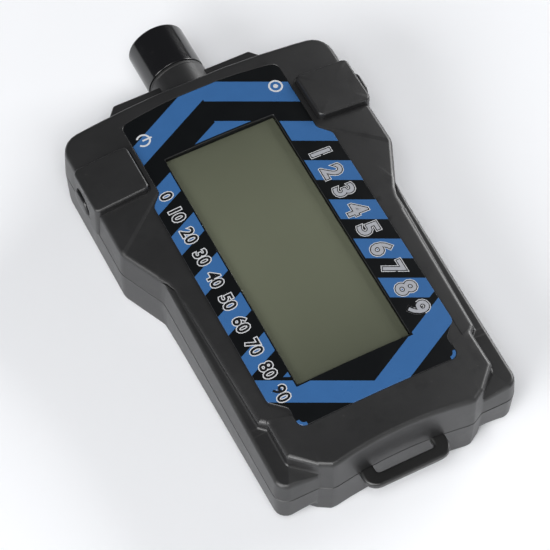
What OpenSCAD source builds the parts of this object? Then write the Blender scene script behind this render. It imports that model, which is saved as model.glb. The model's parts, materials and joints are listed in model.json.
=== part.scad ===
// Handheld optical tachometer lying on its back, screen up.
// X runs across it, Y along it towards the lens tube, Z up through the screen.
// The origin is on the table under the middle of its length.

/* [Case] */
// Width across the head, at the side keys
head_w = 60; // [58:0.5:63]
// Width across the lower body
body_w = 51; // [50:0.5:53]
// Height of the seam between the two shells
seam_z = 9.35; // [9.2:0.05:9.7]
// Height of the crowned face along its middle
crown_z = 18.4; // [18.2:0.1:19.5]
// Radius of the crowned face
crown_r = 230; // [180:5:400]
// Thickness of the side walls
wall = 1.6; // [1.4:0.1:1.8]
// Thickness of the face under the label
roof_t = 1.2; // [1:0.1:1.3]
// Thickness of the rear wall
floor_t = 1.5; // [1.3:0.1:1.5]
// Length of the wide part of the head
head_l = 29.7; // [28.5:0.1:31]
// Length of the waist between the head and the lower body
waist_l = 9.7; // [8:0.1:11]
// Rounding of the head's corners
head_corner_r = 4.5; // [3.5:0.1:5.5]
// Rounding of the waist's corners
waist_r = 4; // [2:0.5:6]
// Rounding of the lower body's corners
body_corner_r = 2.8; // [2.2:0.1:3.5]
// How far the front of the head arches out along its middle
front_arch = 1; // [0.5:0.1:1.3]

/* [End bulge and shoulders] */
// Width of the bulge at the end
bulge_w = 30; // [28.5:0.5:32]
// How far the bulge stands out past the lower body's corners
bulge_step = 1.2; // [0.8:0.1:1.6]
// Width of the slope at each side of the bulge
bulge_slope = 2.2; // [1.6:0.1:3]
// Depth of the hollow in the end wall behind the lanyard loop
end_hollow = 1.1; // [0.8:0.1:1.4]
// Width of a front shoulder at the waist
shoulder_w_top = 1.2; // [1:0.1:1.4]
// Width of a front shoulder before the face's inward step
shoulder_w_mid = 2.5; // [2.2:0.1:2.8]
// Width of a front shoulder past the face's inward step
shoulder_w_low = 3.9; // [3.5:0.1:4.1]
// Distance from the end bulge to the inward step of the face
face_step_y = 13.8; // [12:0.1:15]
// Length of the cut corner of the raised face
face_corner_l = 5.7; // [5:0.1:6.5]
// Height of the front shoulders at the waist
shoulder_z = 16.8; // [16.4:0.1:16.9]
// Fall of the front shoulders from the waist to the end
shoulder_fall = 2.4; // [2:0.1:2.8]
// Rise of the rear shoulders from the waist to the end
rear_rise = 2.3; // [1.5:0.1:2.8]

/* [Raised pads over the side keys] */
// Distance from the middle of the face to a pad
pad_x = 18.6; // [18.4:0.1:20]
// Length of a pad along the case
pad_l = 11.3; // [9:0.1:12.5]
// Distance from the front of the head to a pad's middle
pad_back = 14.2; // [13.5:0.1:15]
// Height of a pad above the face
pad_h = 1.5; // [0.8:0.1:2]
// How far a pad stands out past the head's side
pad_proud = 0.4; // [0.2:0.1:0.8]
// Rounding of a pad's corners
pad_r = 1.2; // [0.8:0.1:2]

/* [Lens boss and neck] */
// Width of the boss where it leaves the head
boss_w = 40; // [38:0.5:42]
// Width of the boss at its tip
boss_tip_w = 30.6; // [28:0.2:33]
// Reach of the boss past the head
boss_reach = 5.4; // [4.5:0.1:6]
// Height of the boss above and below the seam
boss_h = 3.65; // [3:0.05:4.5]
// Reach of the round neck past the boss
neck_reach = 1.5; // [1:0.1:2.5]

/* [Lens hood] */
// Outer diameter of the hood and the neck
hood_d = 12.4; // [11.6:0.1:13]
// Length of the hood in front of its seal
hood_l = 10.2; // [9:0.1:14]
// Diameter of the hood's spigot
spigot_d = 9; // [8.6:0.1:9.4]
// Diameter of the passage for light
light_d = 6.4; // [5.8:0.1:6.8]
// Diameter of the seat for the lens
lens_seat_d = 10; // [9.6:0.1:10.2]
// Depth of the hood's mouth in front of the lens ring
mouth_depth = 2; // [1:0.1:3]
// Thickness of the seal between the hood and the neck
seal_t = 0.8; // [0.6:0.1:1.2]
// Thickness of the lens at its middle
lens_t = 2.4; // [2:0.1:3]
// Radius of the lens's curved side
lens_curve_r = 9; // [8:0.5:14]
// Thickness of the lens ring
lens_ring_t = 1; // [0.8:0.1:1.4]
// Diameter of the opening in the lens ring
lens_ring_d = 8.4; // [7.6:0.1:8.6]
// Thickness of the flange that holds the hood in the case
flange_t = 1.2; // [0.8:0.1:1.4]

/* [Display] */
// Width of the display window
window_w = 24; // [23:0.2:24.6]
// Length of the display window
window_l = 56.85; // [54:0.05:58]
// Distance from the middle of the case to the middle of the window
window_x = -1.1; // [-1.5:0.1:0]
// Distance from the front of the head to the window
window_back = 14.5; // [14.2:0.1:16]
// Distance from the window to the end bulge
window_end_room = 18.15; // [17:0.05:19]
// Border of the display glass hidden around the window
glass_border = 2.5; // [2:0.1:2.8]
// Thickness of the display glass
glass_t = 1.5; // [1.3:0.1:1.5]
// Width of the ledge that bares the display's contacts
ledge_w = 2; // [1.6:0.1:2.2]
// Thickness of the frame round the display glass
frame_t = 1.1; // [0.8:0.1:1.2]
// Height of the rubber contact strips
strip_h = 1; // [0.8:0.1:1.1]
// Thickness of the clear pane
pane_t = 1.6; // [1:0.1:1.7]

/* [Face label] */
// Thickness of the label
label_t = 0.3; // [0.2:0.05:0.4]
// Width of the label beside the pads
label_w_top = 34.5; // [33:0.1:35]
// Width of the label along the display
label_w = 39.2; // [38:0.1:39.6]
// Width of the label's foot
label_w_foot = 33.4; // [31:0.1:35]
// Distance from the front of the head to the label
label_back = 3.4; // [3:0.1:4.2]
// Length of the label past the window at its foot
label_foot_room = 8.15; // [7:0.05:9]
// Length of the label beside the pads
label_top_l = 17.6; // [16:0.1:18.5]
// Length of the label's foot
label_foot_l = 4.7; // [4:0.1:6]
// How far the label's front edge arches out
label_arch = 1.2; // [0.6:0.1:1.6]

/* [Board] */
// Thickness of the main board
board_t = 0.8; // [0.8:0.1:1]
// Distance from the lower body's side to the board
board_side = 6.1; // [5.9:0.1:6.6]
// Distance from the head's side to the board, which the keys take up
key_room = 4.8; // [4.6:0.1:5.4]
// Width of the board's tongue over the light sensor
tongue_w = 24; // [18:0.5:28]

/* [Side keys] */
// Distance from the front of the head to the keys' middles
key_back = 12; // [11:0.1:13]
// Height of the keys' middles
key_z = 11.2; // [11:0.05:11.3]
// Length of a key along the case
key_l = 5.6; // [5:0.1:6.4]
// Height of a key
key_h = 4; // [3.6:0.1:4.2]
// How far the power key stands out
power_proud = 0.7; // [0.6:0.1:1]
// How far the set key stands out
set_proud = 1.9; // [1.4:0.1:1.9]
// Travel of the keys
key_travel = 0.5; // [0.3:0.1:0.6]
// Radius of the round hollow about a key
key_hollow_r = 4.4; // [4:0.1:4.8]
// Depth of the hollow about a key
key_hollow = 0.4; // [0.3:0.1:0.5]
// Length of a switch along the case
switch_l = 6.2; // [5.8:0.1:6.6]
// Depth of a switch towards the middle of the case
switch_depth = 3.4; // [3:0.1:3.8]
// Diameter of a switch's plunger
plunger_d = 2.4; // [2:0.1:2.8]

/* [Light source and light sensor] */
// Diameter of the light source and of the sensor
bulb_d = 3; // [2.8:0.1:3]
// Length of each from its flange to the tip of its dome
bulb_l = 5.3; // [4.8:0.1:6]
// Distance between the middles of the two
bulb_pitch = 4; // [3.9:0.1:4.4]
// Diameter of their leads
lead_d = 0.5; // [0.4:0.05:0.5]
// Distance between the two leads of one of them
lead_pitch = 2.54; // [2.4:0.02:2.8]

/* [Cells and battery bay] */
// Diameter of a cell
cell_d = 10.5; // [10.2:0.1:10.5]
// Length of a cell with its tip
cell_l = 44.5; // [44:0.1:44.5]
// Diameter of a cell's tip
cell_tip_d = 3.8; // [3:0.1:4.2]
// Height of a cell's tip
cell_tip_h = 0.8; // [0.8:0.1:1]
// Distance between the cells
cell_gap = 0.5; // [0.4:0.1:0.8]
// Length of a battery spring when it holds a cell
spring_l = 4.1; // [3.8:0.1:4.6]
// Outer diameter of a spring's widest turn
spring_d = 7; // [6:0.1:7.6]
// Diameter of the spring's wire
spring_wire = 0.6; // [0.5:0.05:0.6]
// Thickness of the contact plates
contact_t = 0.4; // [0.3:0.05:0.5]
// Thickness of the bay's walls
bay_wall = 1.6; // [1.5:0.1:1.7]
// Thickness of the bay's roof
bay_roof = 0.7; // [0.6:0.1:0.7]

/* [Battery door] */
// Thickness of the door
door_t = 1.4; // [1.2:0.1:1.4]
// Width of the ledge that the door rests on
door_ledge = 1.05; // [0.9:0.05:1.2]
// Width of a hinge hook
hook_w = 4; // [3:0.1:5]
// How far a hinge hook reaches past the door's edge
hook_reach = 1.4; // [1.2:0.1:1.6]
// Thickness of a hinge hook
hook_t = 0.8; // [0.6:0.1:0.9]
// Distance from the middle of the door to a hook
hook_x = 6.5; // [6:0.1:7.5]
// Width of the door's spring tongue
tongue_catch_w = 9; // [7:0.1:11]
// Length of the door's spring tongue
tongue_catch_l = 7; // [5:0.1:9]

/* [Lanyard loop] */
// Reach of the loop past the end bulge
loop_reach = 3.4; // [3:0.1:5]
// Width of the loop
loop_w = 18; // [16.5:0.1:20]
// Thickness of the loop
loop_t = 1.6; // [1.4:0.1:1.8]
// Width of the loop's bar beyond the slot
loop_bar = 2.6; // [2.2:0.1:2.6]
// Width of the slot
slot_w = 12.2; // [11:0.1:13]
// Width of the loop's foot held between the shells
foot_w = 24; // [22:0.1:26]

/* [Screws] */
// Diameter of the case screws' shanks
case_screw_d = 2.2; // [2:0.1:2.3]
// Length of the case screws' shanks
case_screw_l = 9.6; // [9:0.1:10]
// Diameter of the case screws' heads
case_head_d = 4; // [3.8:0.1:4.2]
// Diameter of the board screws' shanks
board_screw_d = 1.7; // [1.5:0.1:1.8]
// Length of the board screws' shanks
board_screw_l = 3.2; // [3:0.1:3.3]
// Diameter of the board screws' heads
board_head_d = 3.2; // [3:0.1:3.4]

/* [Fits] */
// Gap between fixed pieces that drop in
drop_gap = 0.1; // [0.08:0.01:0.15]
// Gap round a moving key
key_gap = 0.2; // [0.15:0.01:0.25]
// Gap between a pin or a screw and its hole
pin_gap = 0.05; // [0.03:0.01:0.08]
// Gap round the battery door
door_gap = 0.15; // [0.1:0.01:0.2]

/* [Hidden] */

// One overrun serves every cut
over = 1;
// Straight steps that make a rounded corner
corner_steps = 5;
// Straight steps of the crown's profile and of round pieces
crown_facets = 720;
round_facets = 48;
// Rings in one turn of a spring, sides of its wire, and its turns
spring_steps = 8;
spring_sides = 6;
spring_turns = 3;
spring_taper_share = 0.3;
// Places of the points along half of an arched edge, as shares of its half width
arch_shares = [0.25, 0.5, 0.75];

// Sizes that follow from the ones above
case_l = window_back + window_l + window_end_room;
face_w_top = body_w - 2 * shoulder_w_top;
face_w_mid = body_w - 2 * shoulder_w_mid;
face_w_low = body_w - 2 * shoulder_w_low;
board_w = body_w - 2 * board_side;
board_head_w = head_w - 2 * key_room;

// Places along the length, from the loop's end to the hood's mouth
total_l = loop_reach + case_l + boss_reach + neck_reach + seal_t + hood_l;
y_end = loop_reach - total_l / 2;
y_corner = y_end + bulge_step;
y_front = y_end + case_l;
y_waist_high = y_front - head_l;
y_waist_low = y_waist_high - waist_l;
y_boss = y_front + boss_reach;
y_neck = y_boss + neck_reach;
y_hood = y_neck + seal_t;
y_mouth = y_hood + hood_l;
y_key = y_front - key_back;
y_pad = y_front - pad_back;
y_window = y_front - window_back - window_l / 2;
y_label_top = y_front - label_back;
y_label_foot = y_front - window_back - window_l - label_foot_room;
y_front_inside = y_front + front_arch * (1 - pow(arch_shares[0], 2)) - wall;
y_flange = y_front_inside - drop_gap - flange_t;
y_ring = y_mouth - mouth_depth - lens_ring_t;
y_lens = y_ring - lens_t;

// Heights inside the case
recess_t = label_t;
face_t = roof_t + recess_t;
cell_z = floor_t + 1.5 * drop_gap + cell_d / 2;
bay_top = cell_z + cell_d / 2 + drop_gap;
board_z = bay_top + bay_roof;
board_top = board_z + board_t;
glass_z = board_top + strip_h;
case_h = crown_z + pad_h;

// The battery bay
bay_w = 2 * cell_d + cell_gap + 4 * drop_gap;
bay_l = cell_l + spring_l + 2 * contact_t + drop_gap;
bay_half = bay_w / 2;
bay_end_room = 2.5 * wall;
y_bay_end = y_corner + bay_end_room;
y_bay_top = y_bay_end + bay_l;
cell_x = (cell_d + cell_gap) / 2;
door_half = bay_half + door_ledge;
y_door_top = y_bay_top + door_ledge;
y_door_end = y_bay_end - door_ledge;
hook_top = floor_t + drop_gap + hook_t;
hook_sweep = norm([hook_reach, hook_top]);
contact_z = hook_sweep + 2 * drop_gap;
contact_w = 0.4 * bay_w;
contact_top = cell_z + 0.3 * cell_d;
tail_w = cell_tip_d / 2;
grip_lines = 3;
grip_pitch = tongue_catch_l / 5;

// The display
glass_w = window_w + 2 * glass_border;
glass_l = window_l + 2 * glass_border;
frame_w = glass_w + 2 * (frame_t + drop_gap);
frame_l = glass_l + 2 * (frame_t + drop_gap);
strip_w = 0.8 * ledge_w;

// The board's outline
y_board_front = y_flange - 6 * drop_gap;
y_board_head = y_key + switch_l / 2 + 6 * drop_gap;
y_board_neck = y_waist_high + waist_l / 8;
y_board_end = y_window - frame_l / 2 - board_screw_d * 3;
board_screw_places = [[board_w / 2 - board_screw_d * 1.2, y_board_end + board_screw_d * 1.45],
    [board_head_w / 2 - board_screw_d * 1.6, y_board_neck + board_screw_d * 2.4]];
board_half = [[board_w / 2, y_board_end], [board_w / 2, y_board_neck], [board_head_w / 2, y_board_neck],
    [board_head_w / 2, y_board_head], [tongue_w / 2, y_board_head], [tongue_w / 2, y_board_front]];
case_screw_places = [[body_w / 2 - wall * 5, y_corner + wall * 3],
    [head_w / 2 - wall * 3.5, y_front - wall * 3.1]];

// The parts on the board
resistor_l = 2.5 * board_t;
resistor_count = 6;
y_resistors = y_key - 2.4 * resistor_l;
chip_w = 0.47 * (y_resistors - y_bay_top - bay_wall);
chip_t = 2 * board_t;
leg_count = 8;
leg_pitch = 0.8 * chip_w / leg_count;
crystal_l = 0.27 * board_w;
crystal_w = 0.4 * crystal_l;
capacitor_d = 0.1 * board_w;
capacitor_places = [for (k = [0, 1]) [board_screw_d * 4.2 + k * 1.3 * capacitor_d - board_head_w / 2,
    max(y_board_neck, y_bay_top + bay_wall) + 1.5 * capacitor_d]];

// Screw seats
post_r = case_head_d * 0.75;
front_post_r = case_screw_d * 1.2;
case_seat_z = case_head_d * 0.8;
case_head_t = case_head_d * 0.35;
board_post_r = board_screw_d * 1.2;
board_head_t = board_screw_d * 0.6;
driver_share = 0.3;

// The keys and their switches
switch_face_x = board_head_w / 2 - drop_gap;
plunger_reach = key_travel + 4 * drop_gap;
plunger_tip_x = switch_face_x + plunger_reach;
key_seat_x = head_w / 2 - wall;
key_flange_t = 0.6 * wall;
key_flange_lip = 0.6 * wall;
key_crown_r = 1.8 * key_l;
switch_bore = 0.6 * switch_depth;

// The light source and the light sensor
collar_d = 1.26 * bulb_d;
collar_t = 0.33 * bulb_d;
y_bulb_tip = y_flange - 2 * drop_gap;
y_bulb = y_bulb_tip - bulb_l;
holder_w = bulb_pitch + 1.8 * bulb_d;
holder_h = 2 * bulb_d;
holder_l = 0.6 * bulb_l;
lead_back = 3 * lead_d;

// The hood
hood_corner = hood_d / 20;
lens_ring_drop = lens_curve_r - sqrt(pow(lens_curve_r, 2) - pow(lens_ring_d / 2, 2));

// The loop
slot_y = y_end - loop_reach + loop_bar;
loop_z = seam_z - loop_t;
peg_r = 0.45 * loop_t;
peg_x = 0.42 * foot_w;
peg_y = y_end + end_hollow + 0.5 * loop_t;
foot_l = bulge_step + wall + end_hollow / 2;

function unit(v) = v / norm(v);
function cycle(points, i) = points[(i + len(points)) % len(points)];
function inward(p, q) = let (d = unit(q - p)) [-d.y, d.x];
function turn_at(points, i) =
    let (a = points[i] - cycle(points, i - 1), b = cycle(points, i + 1) - points[i]) a.x * b.y - a.y * b.x;
// An outline drawn anticlockwise, moved in by a depth
function inset(points, depth) = [for (i = [0:len(points) - 1])
    let (a = inward(cycle(points, i - 1), points[i]), b = inward(points[i], cycle(points, i + 1)))
    points[i] + depth * (a + b) / (1 + a * b)];
// Half an outline, from its lower end to its upper end, joined to its mirror image
function mirrored(half) = concat(half, [for (i = [len(half) - 1:-1:0]) [-half[i].x, half[i].y]]);
function doubled(values) = concat(values, [for (i = [len(values) - 1:-1:0]) values[i]]);
// An arched edge's right half, from its middle to the edge's corner, and back again
function arch_out(half_w, y, rise) = [for (s = arch_shares) [s * half_w, y + rise * (1 - s * s)]];
function arch_back(half_w, y, rise) = [for (i = [len(arch_shares) - 1:-1:0])
    let (s = arch_shares[i]) [s * half_w, y + rise * (1 - s * s)]];
// The arc that rounds one corner of an outline
function corner_arc(points, i, r) =
    let (a = unit(cycle(points, i - 1) - points[i]), b = unit(cycle(points, i + 1) - points[i]),
        reach = r / tan(acos(a * b) / 2), first = points[i] + reach * a, last = points[i] + reach * b,
        side = turn_at(points, i) > 0 ? 1 : -1,
        centre = first + side * r * inward(cycle(points, i - 1), points[i]),
        from = atan2(first.y - centre.y, first.x - centre.x),
        raw = atan2(last.y - centre.y, last.x - centre.x) - from,
        sweep = raw > 180 ? raw - 360 : raw < -180 ? raw + 360 : raw)
    [for (k = [0:corner_steps]) centre + r * [cos(from + sweep * k / corner_steps),
        sin(from + sweep * k / corner_steps)]];
// An outline moved in by a depth, its corners rounded by radii that follow the depth
function rounded(points, radii, depth = 0) =
    let (moved = inset(points, depth))
    [for (i = [0:len(points) - 1]) each (radii[i] == 0 ? [moved[i]] :
        corner_arc(moved, i,
            turn_at(points, i) > 0 ? max(radii[i] - depth, radii[i] / 4) : radii[i] + depth))];
// An outline whose upper edge arches out and whose lower edge may be hollow, with its radii
function arched(half, low_w, hollow, rise) = let (low = half[0].y, high = half[len(half) - 1])
    concat(hollow == 0 ? [] : [[0, low + hollow]],
        mirrored(concat(hollow == 0 ? [] : concat(arch_out(low_w, low, hollow), [[low_w, low]]), half,
            rise == 0 ? [] : arch_back(high.x, high.y, rise))));
function no_radii(values) = [for (v = values) 0];
function arched_radii(radii, hollow, rise) =
    concat(hollow == 0 ? [] : [0],
        doubled(concat(hollow == 0 ? [] : concat(no_radii(arch_shares), [0]), radii,
            rise == 0 ? [] : no_radii(arch_shares))));

// The case seen from above
hollow_w = bulge_w / 2 - bulge_step;
case_half = [[bulge_w / 2, y_end], [bulge_w / 2 + bulge_slope, y_corner], [body_w / 2, y_corner],
    [body_w / 2, y_waist_low], [head_w / 2, y_waist_high], [head_w / 2, y_front]];
case_radii = [bulge_step, bulge_step, body_corner_r, waist_r, waist_r, head_corner_r];

// The raised face below the waist
face_half = [[bulge_w / 2, y_end], [face_w_low / 2, y_end + face_corner_l],
    [face_w_low / 2, y_end + face_step_y], [face_w_mid / 2, y_end + face_step_y + bulge_step],
    [face_w_top / 2, y_waist_high]];
face_radii = [bulge_step, bulge_step, bulge_step / 2, bulge_step / 2, wall];

// The label, and the recess that holds it
label_half = [[label_w_foot / 2, y_label_foot], [label_w_foot / 2, y_label_foot + label_foot_l],
    [label_w / 2, y_label_foot + label_foot_l + (label_w - label_w_foot) / 2],
    [label_w / 2, y_label_top - label_top_l - (label_w - label_w_top) / 2],
    [label_w_top / 2, y_label_top - label_top_l], [label_w_top / 2, y_label_top]];
label_r = label_foot_l / 3;
label_radii = [label_r, label_r, label_r, label_r, label_r, label_r];

module case_outline(depth) {
    polygon(rounded(arched(case_half, hollow_w, end_hollow, front_arch),
        arched_radii(case_radii, end_hollow, front_arch), depth));
}

module face_outline(depth) {
    polygon(rounded(arched(face_half, hollow_w, end_hollow, 0),
        arched_radii(face_radii, end_hollow, 0), depth));
}

module label_outline(depth) {
    polygon(rounded(arched(label_half, 0, 0, label_arch), arched_radii(label_radii, 0, label_arch), depth));
}

// The space under the crowned face, lowered by a depth
module under_crown(depth) {
    translate([0, y_boss + over, 0]) rotate([90, 0, 0]) linear_extrude(case_l + 2 * boss_reach)
        intersection() {
            translate([0, crown_z - crown_r]) circle(r = crown_r - depth, $fn = crown_facets);
            translate([-head_w, -over]) square([2 * head_w, case_h + 2 * over]);
        }
}

// The space under the sloping front shoulders, lowered by a depth; it ends at the waist
module under_shoulders(depth) {
    slope = shoulder_fall / (y_waist_low - y_corner);
    rotate([90, 0, 90]) translate([0, 0, -head_w]) linear_extrude(2 * head_w)
        polygon([[y_end - over, 0], [y_front + over, 0], [y_front + over, case_h + over],
            [y_waist_high, case_h + over], [y_waist_low, shoulder_z - depth],
            [y_end - over, shoulder_z - depth - (y_waist_low - y_end + over) * slope]]);
}

// The space over the sloping rear shoulders, raised by a depth
module over_rear_shoulders(depth) {
    slope = rear_rise / (y_waist_low - y_corner);
    rotate([90, 0, 90]) translate([0, 0, -head_w]) linear_extrude(2 * head_w)
        polygon([[y_end - over, depth + (y_waist_low - y_end + over) * slope], [y_waist_low, depth],
            [y_front + over, depth], [y_front + over, case_h], [y_end - over, case_h]]);
}

// The front half of the case as a solid, moved in by the wall and the face's thickness
module front_form(side, roof, low) {
    intersection() {
        under_crown(roof);
        union() {
            intersection() {
                translate([0, 0, low]) linear_extrude(case_h - low) case_outline(side);
                under_shoulders(roof);
            }
            translate([0, 0, low]) linear_extrude(case_h - low) face_outline(side);
        }
    }
}

// The rear half of the case as a solid, moved in by the wall and the rear wall's thickness
module rear_form(side, base, high) {
    intersection() {
        translate([0, 0, base]) linear_extrude(high - base) case_outline(side);
        over_rear_shoulders(base);
    }
    translate([0, 0, base]) linear_extrude(high - base) face_outline(side);
}

module boss_outline(depth) {
    polygon([[boss_w / 2 - depth, y_front - head_corner_r], [boss_w / 2 - depth, y_front],
        [boss_tip_w / 2 - depth, y_boss - depth], [-boss_tip_w / 2 + depth, y_boss - depth],
        [-boss_w / 2 + depth, y_front], [-boss_w / 2 + depth, y_front - head_corner_r]]);
}

// A round bar along Y on the lens's axis
module lens_bar(d, y_from, y_to) {
    translate([0, y_to, seam_z]) rotate([90, 0, 0]) cylinder(d = d, h = y_to - y_from, $fn = round_facets);
}

// One half of the boss and the neck, above or below the seam
module boss_half(top) {
    low = top ? seam_z : seam_z - boss_h;
    translate([0, 0, low]) linear_extrude(boss_h) boss_outline(0);
    intersection() {
        lens_bar(hood_d, y_front - wall, y_neck);
        translate([-hood_d, y_front - 2 * wall, top ? seam_z : 0])
            cube([2 * hood_d, boss_reach + neck_reach + 3 * wall, top ? case_h : seam_z]);
    }
}

// The room inside the boss beside the neck
module boss_room(top) {
    low = top ? seam_z - over : seam_z - boss_h + wall;
    difference() {
        translate([0, 0, low]) linear_extrude(boss_h - wall + over) boss_outline(wall);
        lens_bar(hood_d, y_front - head_corner_r, y_neck);
    }
}

// The key's round-ended outline, seen from the side, grown by a gap
module key_outline(gap) {
    r = key_h / 2 + gap;
    polygon(rounded([[key_l / 2 + gap, r], [-key_l / 2 - gap, r], [-key_l / 2 - gap, -r],
        [key_l / 2 + gap, -r]], [0.9 * r, 0.9 * r, 0.9 * r, 0.9 * r]));
}

// A key-shaped bar through the side wall, on the +X side
module key_bar(gap, x_from, x_to) {
    translate([x_from, y_key, key_z]) rotate([90, 0, 90]) linear_extrude(x_to - x_from) key_outline(gap);
}

// The hole for a key and the hollow about it, on the +X side
module key_hole() {
    key_bar(key_gap, key_seat_x - over, head_w / 2 + 2 * over);
    translate([head_w / 2 + pad_proud - key_hollow, y_key, key_z]) rotate([0, 90, 0])
        cylinder(r = key_hollow_r, h = 2 * over, $fn = round_facets);
}

module both_sides() {
    children();
    mirror([1, 0, 0]) children();
}

module four_places(places, z) {
    for (p = places) both_sides() translate([p.x, p.y, z]) children();
}

// A raised pad over a key, with the block below it down to the seam
module pad() {
    intersection() {
        under_crown(-pad_h);
        translate([0, 0, seam_z]) linear_extrude(case_h)
            polygon(rounded([[pad_x, y_pad - pad_l / 2], [head_w / 2 + pad_proud, y_pad - pad_l / 2],
                [head_w / 2 + pad_proud, y_pad + pad_l / 2], [pad_x, y_pad + pad_l / 2]],
                [pad_r, pad_r, pad_r, pad_r]));
    }
}

module front_shell() {
    color([0.15, 0.15, 0.15]) difference() {
        union() {
            difference() {
                union() {
                    front_form(0, 0, seam_z);
                    boss_half(true);
                    both_sides() pad();
                }
                front_form(wall, face_t, seam_z - over);
                boss_room(true);
            }
            intersection() {
                union() {
                    four_places(case_screw_places, seam_z)
                        cylinder(r = front_post_r, h = case_h, $fn = round_facets);
                    four_places(board_screw_places, board_top)
                        cylinder(r = board_post_r, h = case_h, $fn = round_facets);
                }
                front_form(wall / 2, face_t / 2, seam_z);
            }
        }
        // the recess for the label, which stays wide a little past the label's own step
        intersection() {
            translate([0, 0, seam_z]) linear_extrude(case_h) {
                label_outline(-drop_gap);
                translate([-label_w / 2 - drop_gap, y_label_foot + label_foot_l - label_r])
                    square([label_w + 2 * drop_gap, label_foot_l + label_r]);
            }
            difference() {
                under_crown(-over);
                under_crown(recess_t);
            }
        }
        // the window, the lens bore, the keys and the screws
        translate([window_x - window_w / 2 - drop_gap, y_window - window_l / 2 - drop_gap, board_top])
            cube([window_w + 2 * drop_gap, window_l + 2 * drop_gap, case_h]);
        lens_bar(spigot_d + 2 * pin_gap, y_front - 2 * wall, y_neck + over);
        both_sides() key_hole();
        four_places(case_screw_places, seam_z - over)
            cylinder(d = case_screw_d + 2 * pin_gap, h = case_seat_z + case_screw_l - seam_z + 2 * over,
                $fn = round_facets);
        four_places(board_screw_places, board_top - over)
            cylinder(d = board_screw_d + 2 * pin_gap, h = board_screw_l - board_t + over + drop_gap,
                $fn = round_facets);
    }
}

// The walls and the roof of the battery bay, as a block
module bay_block() {
    translate([-bay_half - bay_wall, y_bay_end - bay_wall, floor_t])
        cube([bay_w + 2 * bay_wall, bay_l + 2 * bay_wall, board_z - floor_t]);
}

module bay_room() {
    translate([-bay_half, y_bay_end, -over]) cube([bay_w, bay_l, bay_top + over]);
}

// A step cut in the rear wall for the door, grown by a gap
module door_outline(gap) {
    translate([-door_half - gap, y_door_end - gap])
        square([2 * (door_half + gap), y_door_top - y_door_end + 2 * gap]);
}

// The pockets in the bay's end wall for the door's hooks
module hook_pockets() {
    both_sides() translate([hook_x - hook_w / 2 - 2 * drop_gap, y_bay_top - over, floor_t])
        cube([hook_w + 4 * drop_gap, bay_wall + hook_reach + over, contact_z - floor_t]);
}

// Slots in the bay's roof for the tails of the two contacts at the lens end
module tail_slots() {
    both_sides() translate([cell_x - tail_w / 2 - drop_gap, y_bay_top - contact_t - drop_gap, cell_z])
        cube([tail_w + 2 * drop_gap, contact_t + drop_gap, board_z]);
}

// The ledge between the end wall and the bay that carries the loop's foot
module loop_ledge() {
    translate([-foot_w / 2 - wall, y_end + wall, loop_z - wall])
        cube([foot_w + 2 * wall, y_bay_end - y_end - wall, loop_t + wall]);
}

module rear_shell() {
    color([0.17, 0.17, 0.17]) difference() {
        union() {
            difference() {
                union() {
                    rear_form(0, 0, seam_z);
                    boss_half(false);
                }
                rear_form(wall, floor_t, seam_z + over);
                boss_room(false);
            }
            bay_block();
            loop_ledge();
            intersection() {
                four_places(case_screw_places, 0) cylinder(r = post_r, h = seam_z, $fn = round_facets);
                rear_form(wall / 2, 0, seam_z);
            }
        }
        bay_room();
        translate([0, 0, -over]) linear_extrude(floor_t + over) door_outline(door_gap);
        hook_pockets();
        tail_slots();
        // the lens bore, the keys and the screws
        lens_bar(spigot_d + 2 * pin_gap, y_front - 2 * wall, y_neck + over);
        both_sides() key_hole();
        four_places(case_screw_places, -over)
            cylinder(d = case_head_d + 6 * pin_gap, h = case_seat_z + over, $fn = round_facets);
        four_places(case_screw_places, -over)
            cylinder(d = case_screw_d + 2 * pin_gap, h = seam_z + 2 * over, $fn = round_facets);
        // the pocket for the loop's foot, with a peg left at each side
        difference() {
            translate([-foot_w / 2 - drop_gap, y_end - over, loop_z])
                cube([foot_w + 2 * drop_gap, foot_l + over, loop_t + over]);
            both_sides() translate([peg_x, peg_y, 0]) cylinder(r = peg_r, h = seam_z, $fn = round_facets);
        }
        // a finger notch at the catch end of the door
        translate([0, y_door_end - door_gap, 0]) cylinder(d = tongue_catch_w / 2, h = 2 * door_t / 3,
            center = true, $fn = round_facets);
    }
}

module battery_door() {
    color([0.17, 0.17, 0.17]) {
        difference() {
            linear_extrude(door_t) door_outline(0);
            // the slits that free the spring tongue
            both_sides() translate([tongue_catch_w / 2, y_door_end - over, -over])
                cube([door_t / 2, tongue_catch_l + over, door_t + 2 * over]);
            // grip lines
            for (k = [1:grip_lines]) translate([-tongue_catch_w / 3, y_door_end + k * grip_pitch, -over])
                cube([2 * tongue_catch_w / 3, grip_pitch / 2, over + door_t / 4]);
        }
        both_sides() translate([hook_x - hook_w / 2, y_door_top, 0]) rotate([90, 0, 90])
            linear_extrude(hook_w) polygon([[-1.4 * hook_reach, door_t - drop_gap],
                [-hook_reach / 2, door_t - drop_gap], [-hook_reach / 2, floor_t + drop_gap],
                [hook_reach, floor_t + drop_gap], [hook_reach, hook_top], [-1.4 * hook_reach, hook_top]]);
    }
}

module face_label() {
    color([0.1, 0.25, 0.55]) difference() {
        intersection() {
            translate([0, 0, seam_z]) linear_extrude(case_h) label_outline(0);
            difference() {
                under_crown(0);
                under_crown(recess_t);
            }
        }
        translate([window_x - window_w / 2, y_window - window_l / 2, seam_z])
            cube([window_w, window_l, case_h]);
    }
}

module display_pane() {
    color([0.75, 0.8, 0.78, 0.5]) intersection() {
        translate([window_x - window_w / 2, y_window - window_l / 2, crown_z - recess_t - pane_t])
            cube([window_w, window_l, pane_t]);
        under_crown(recess_t);
    }
}

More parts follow.
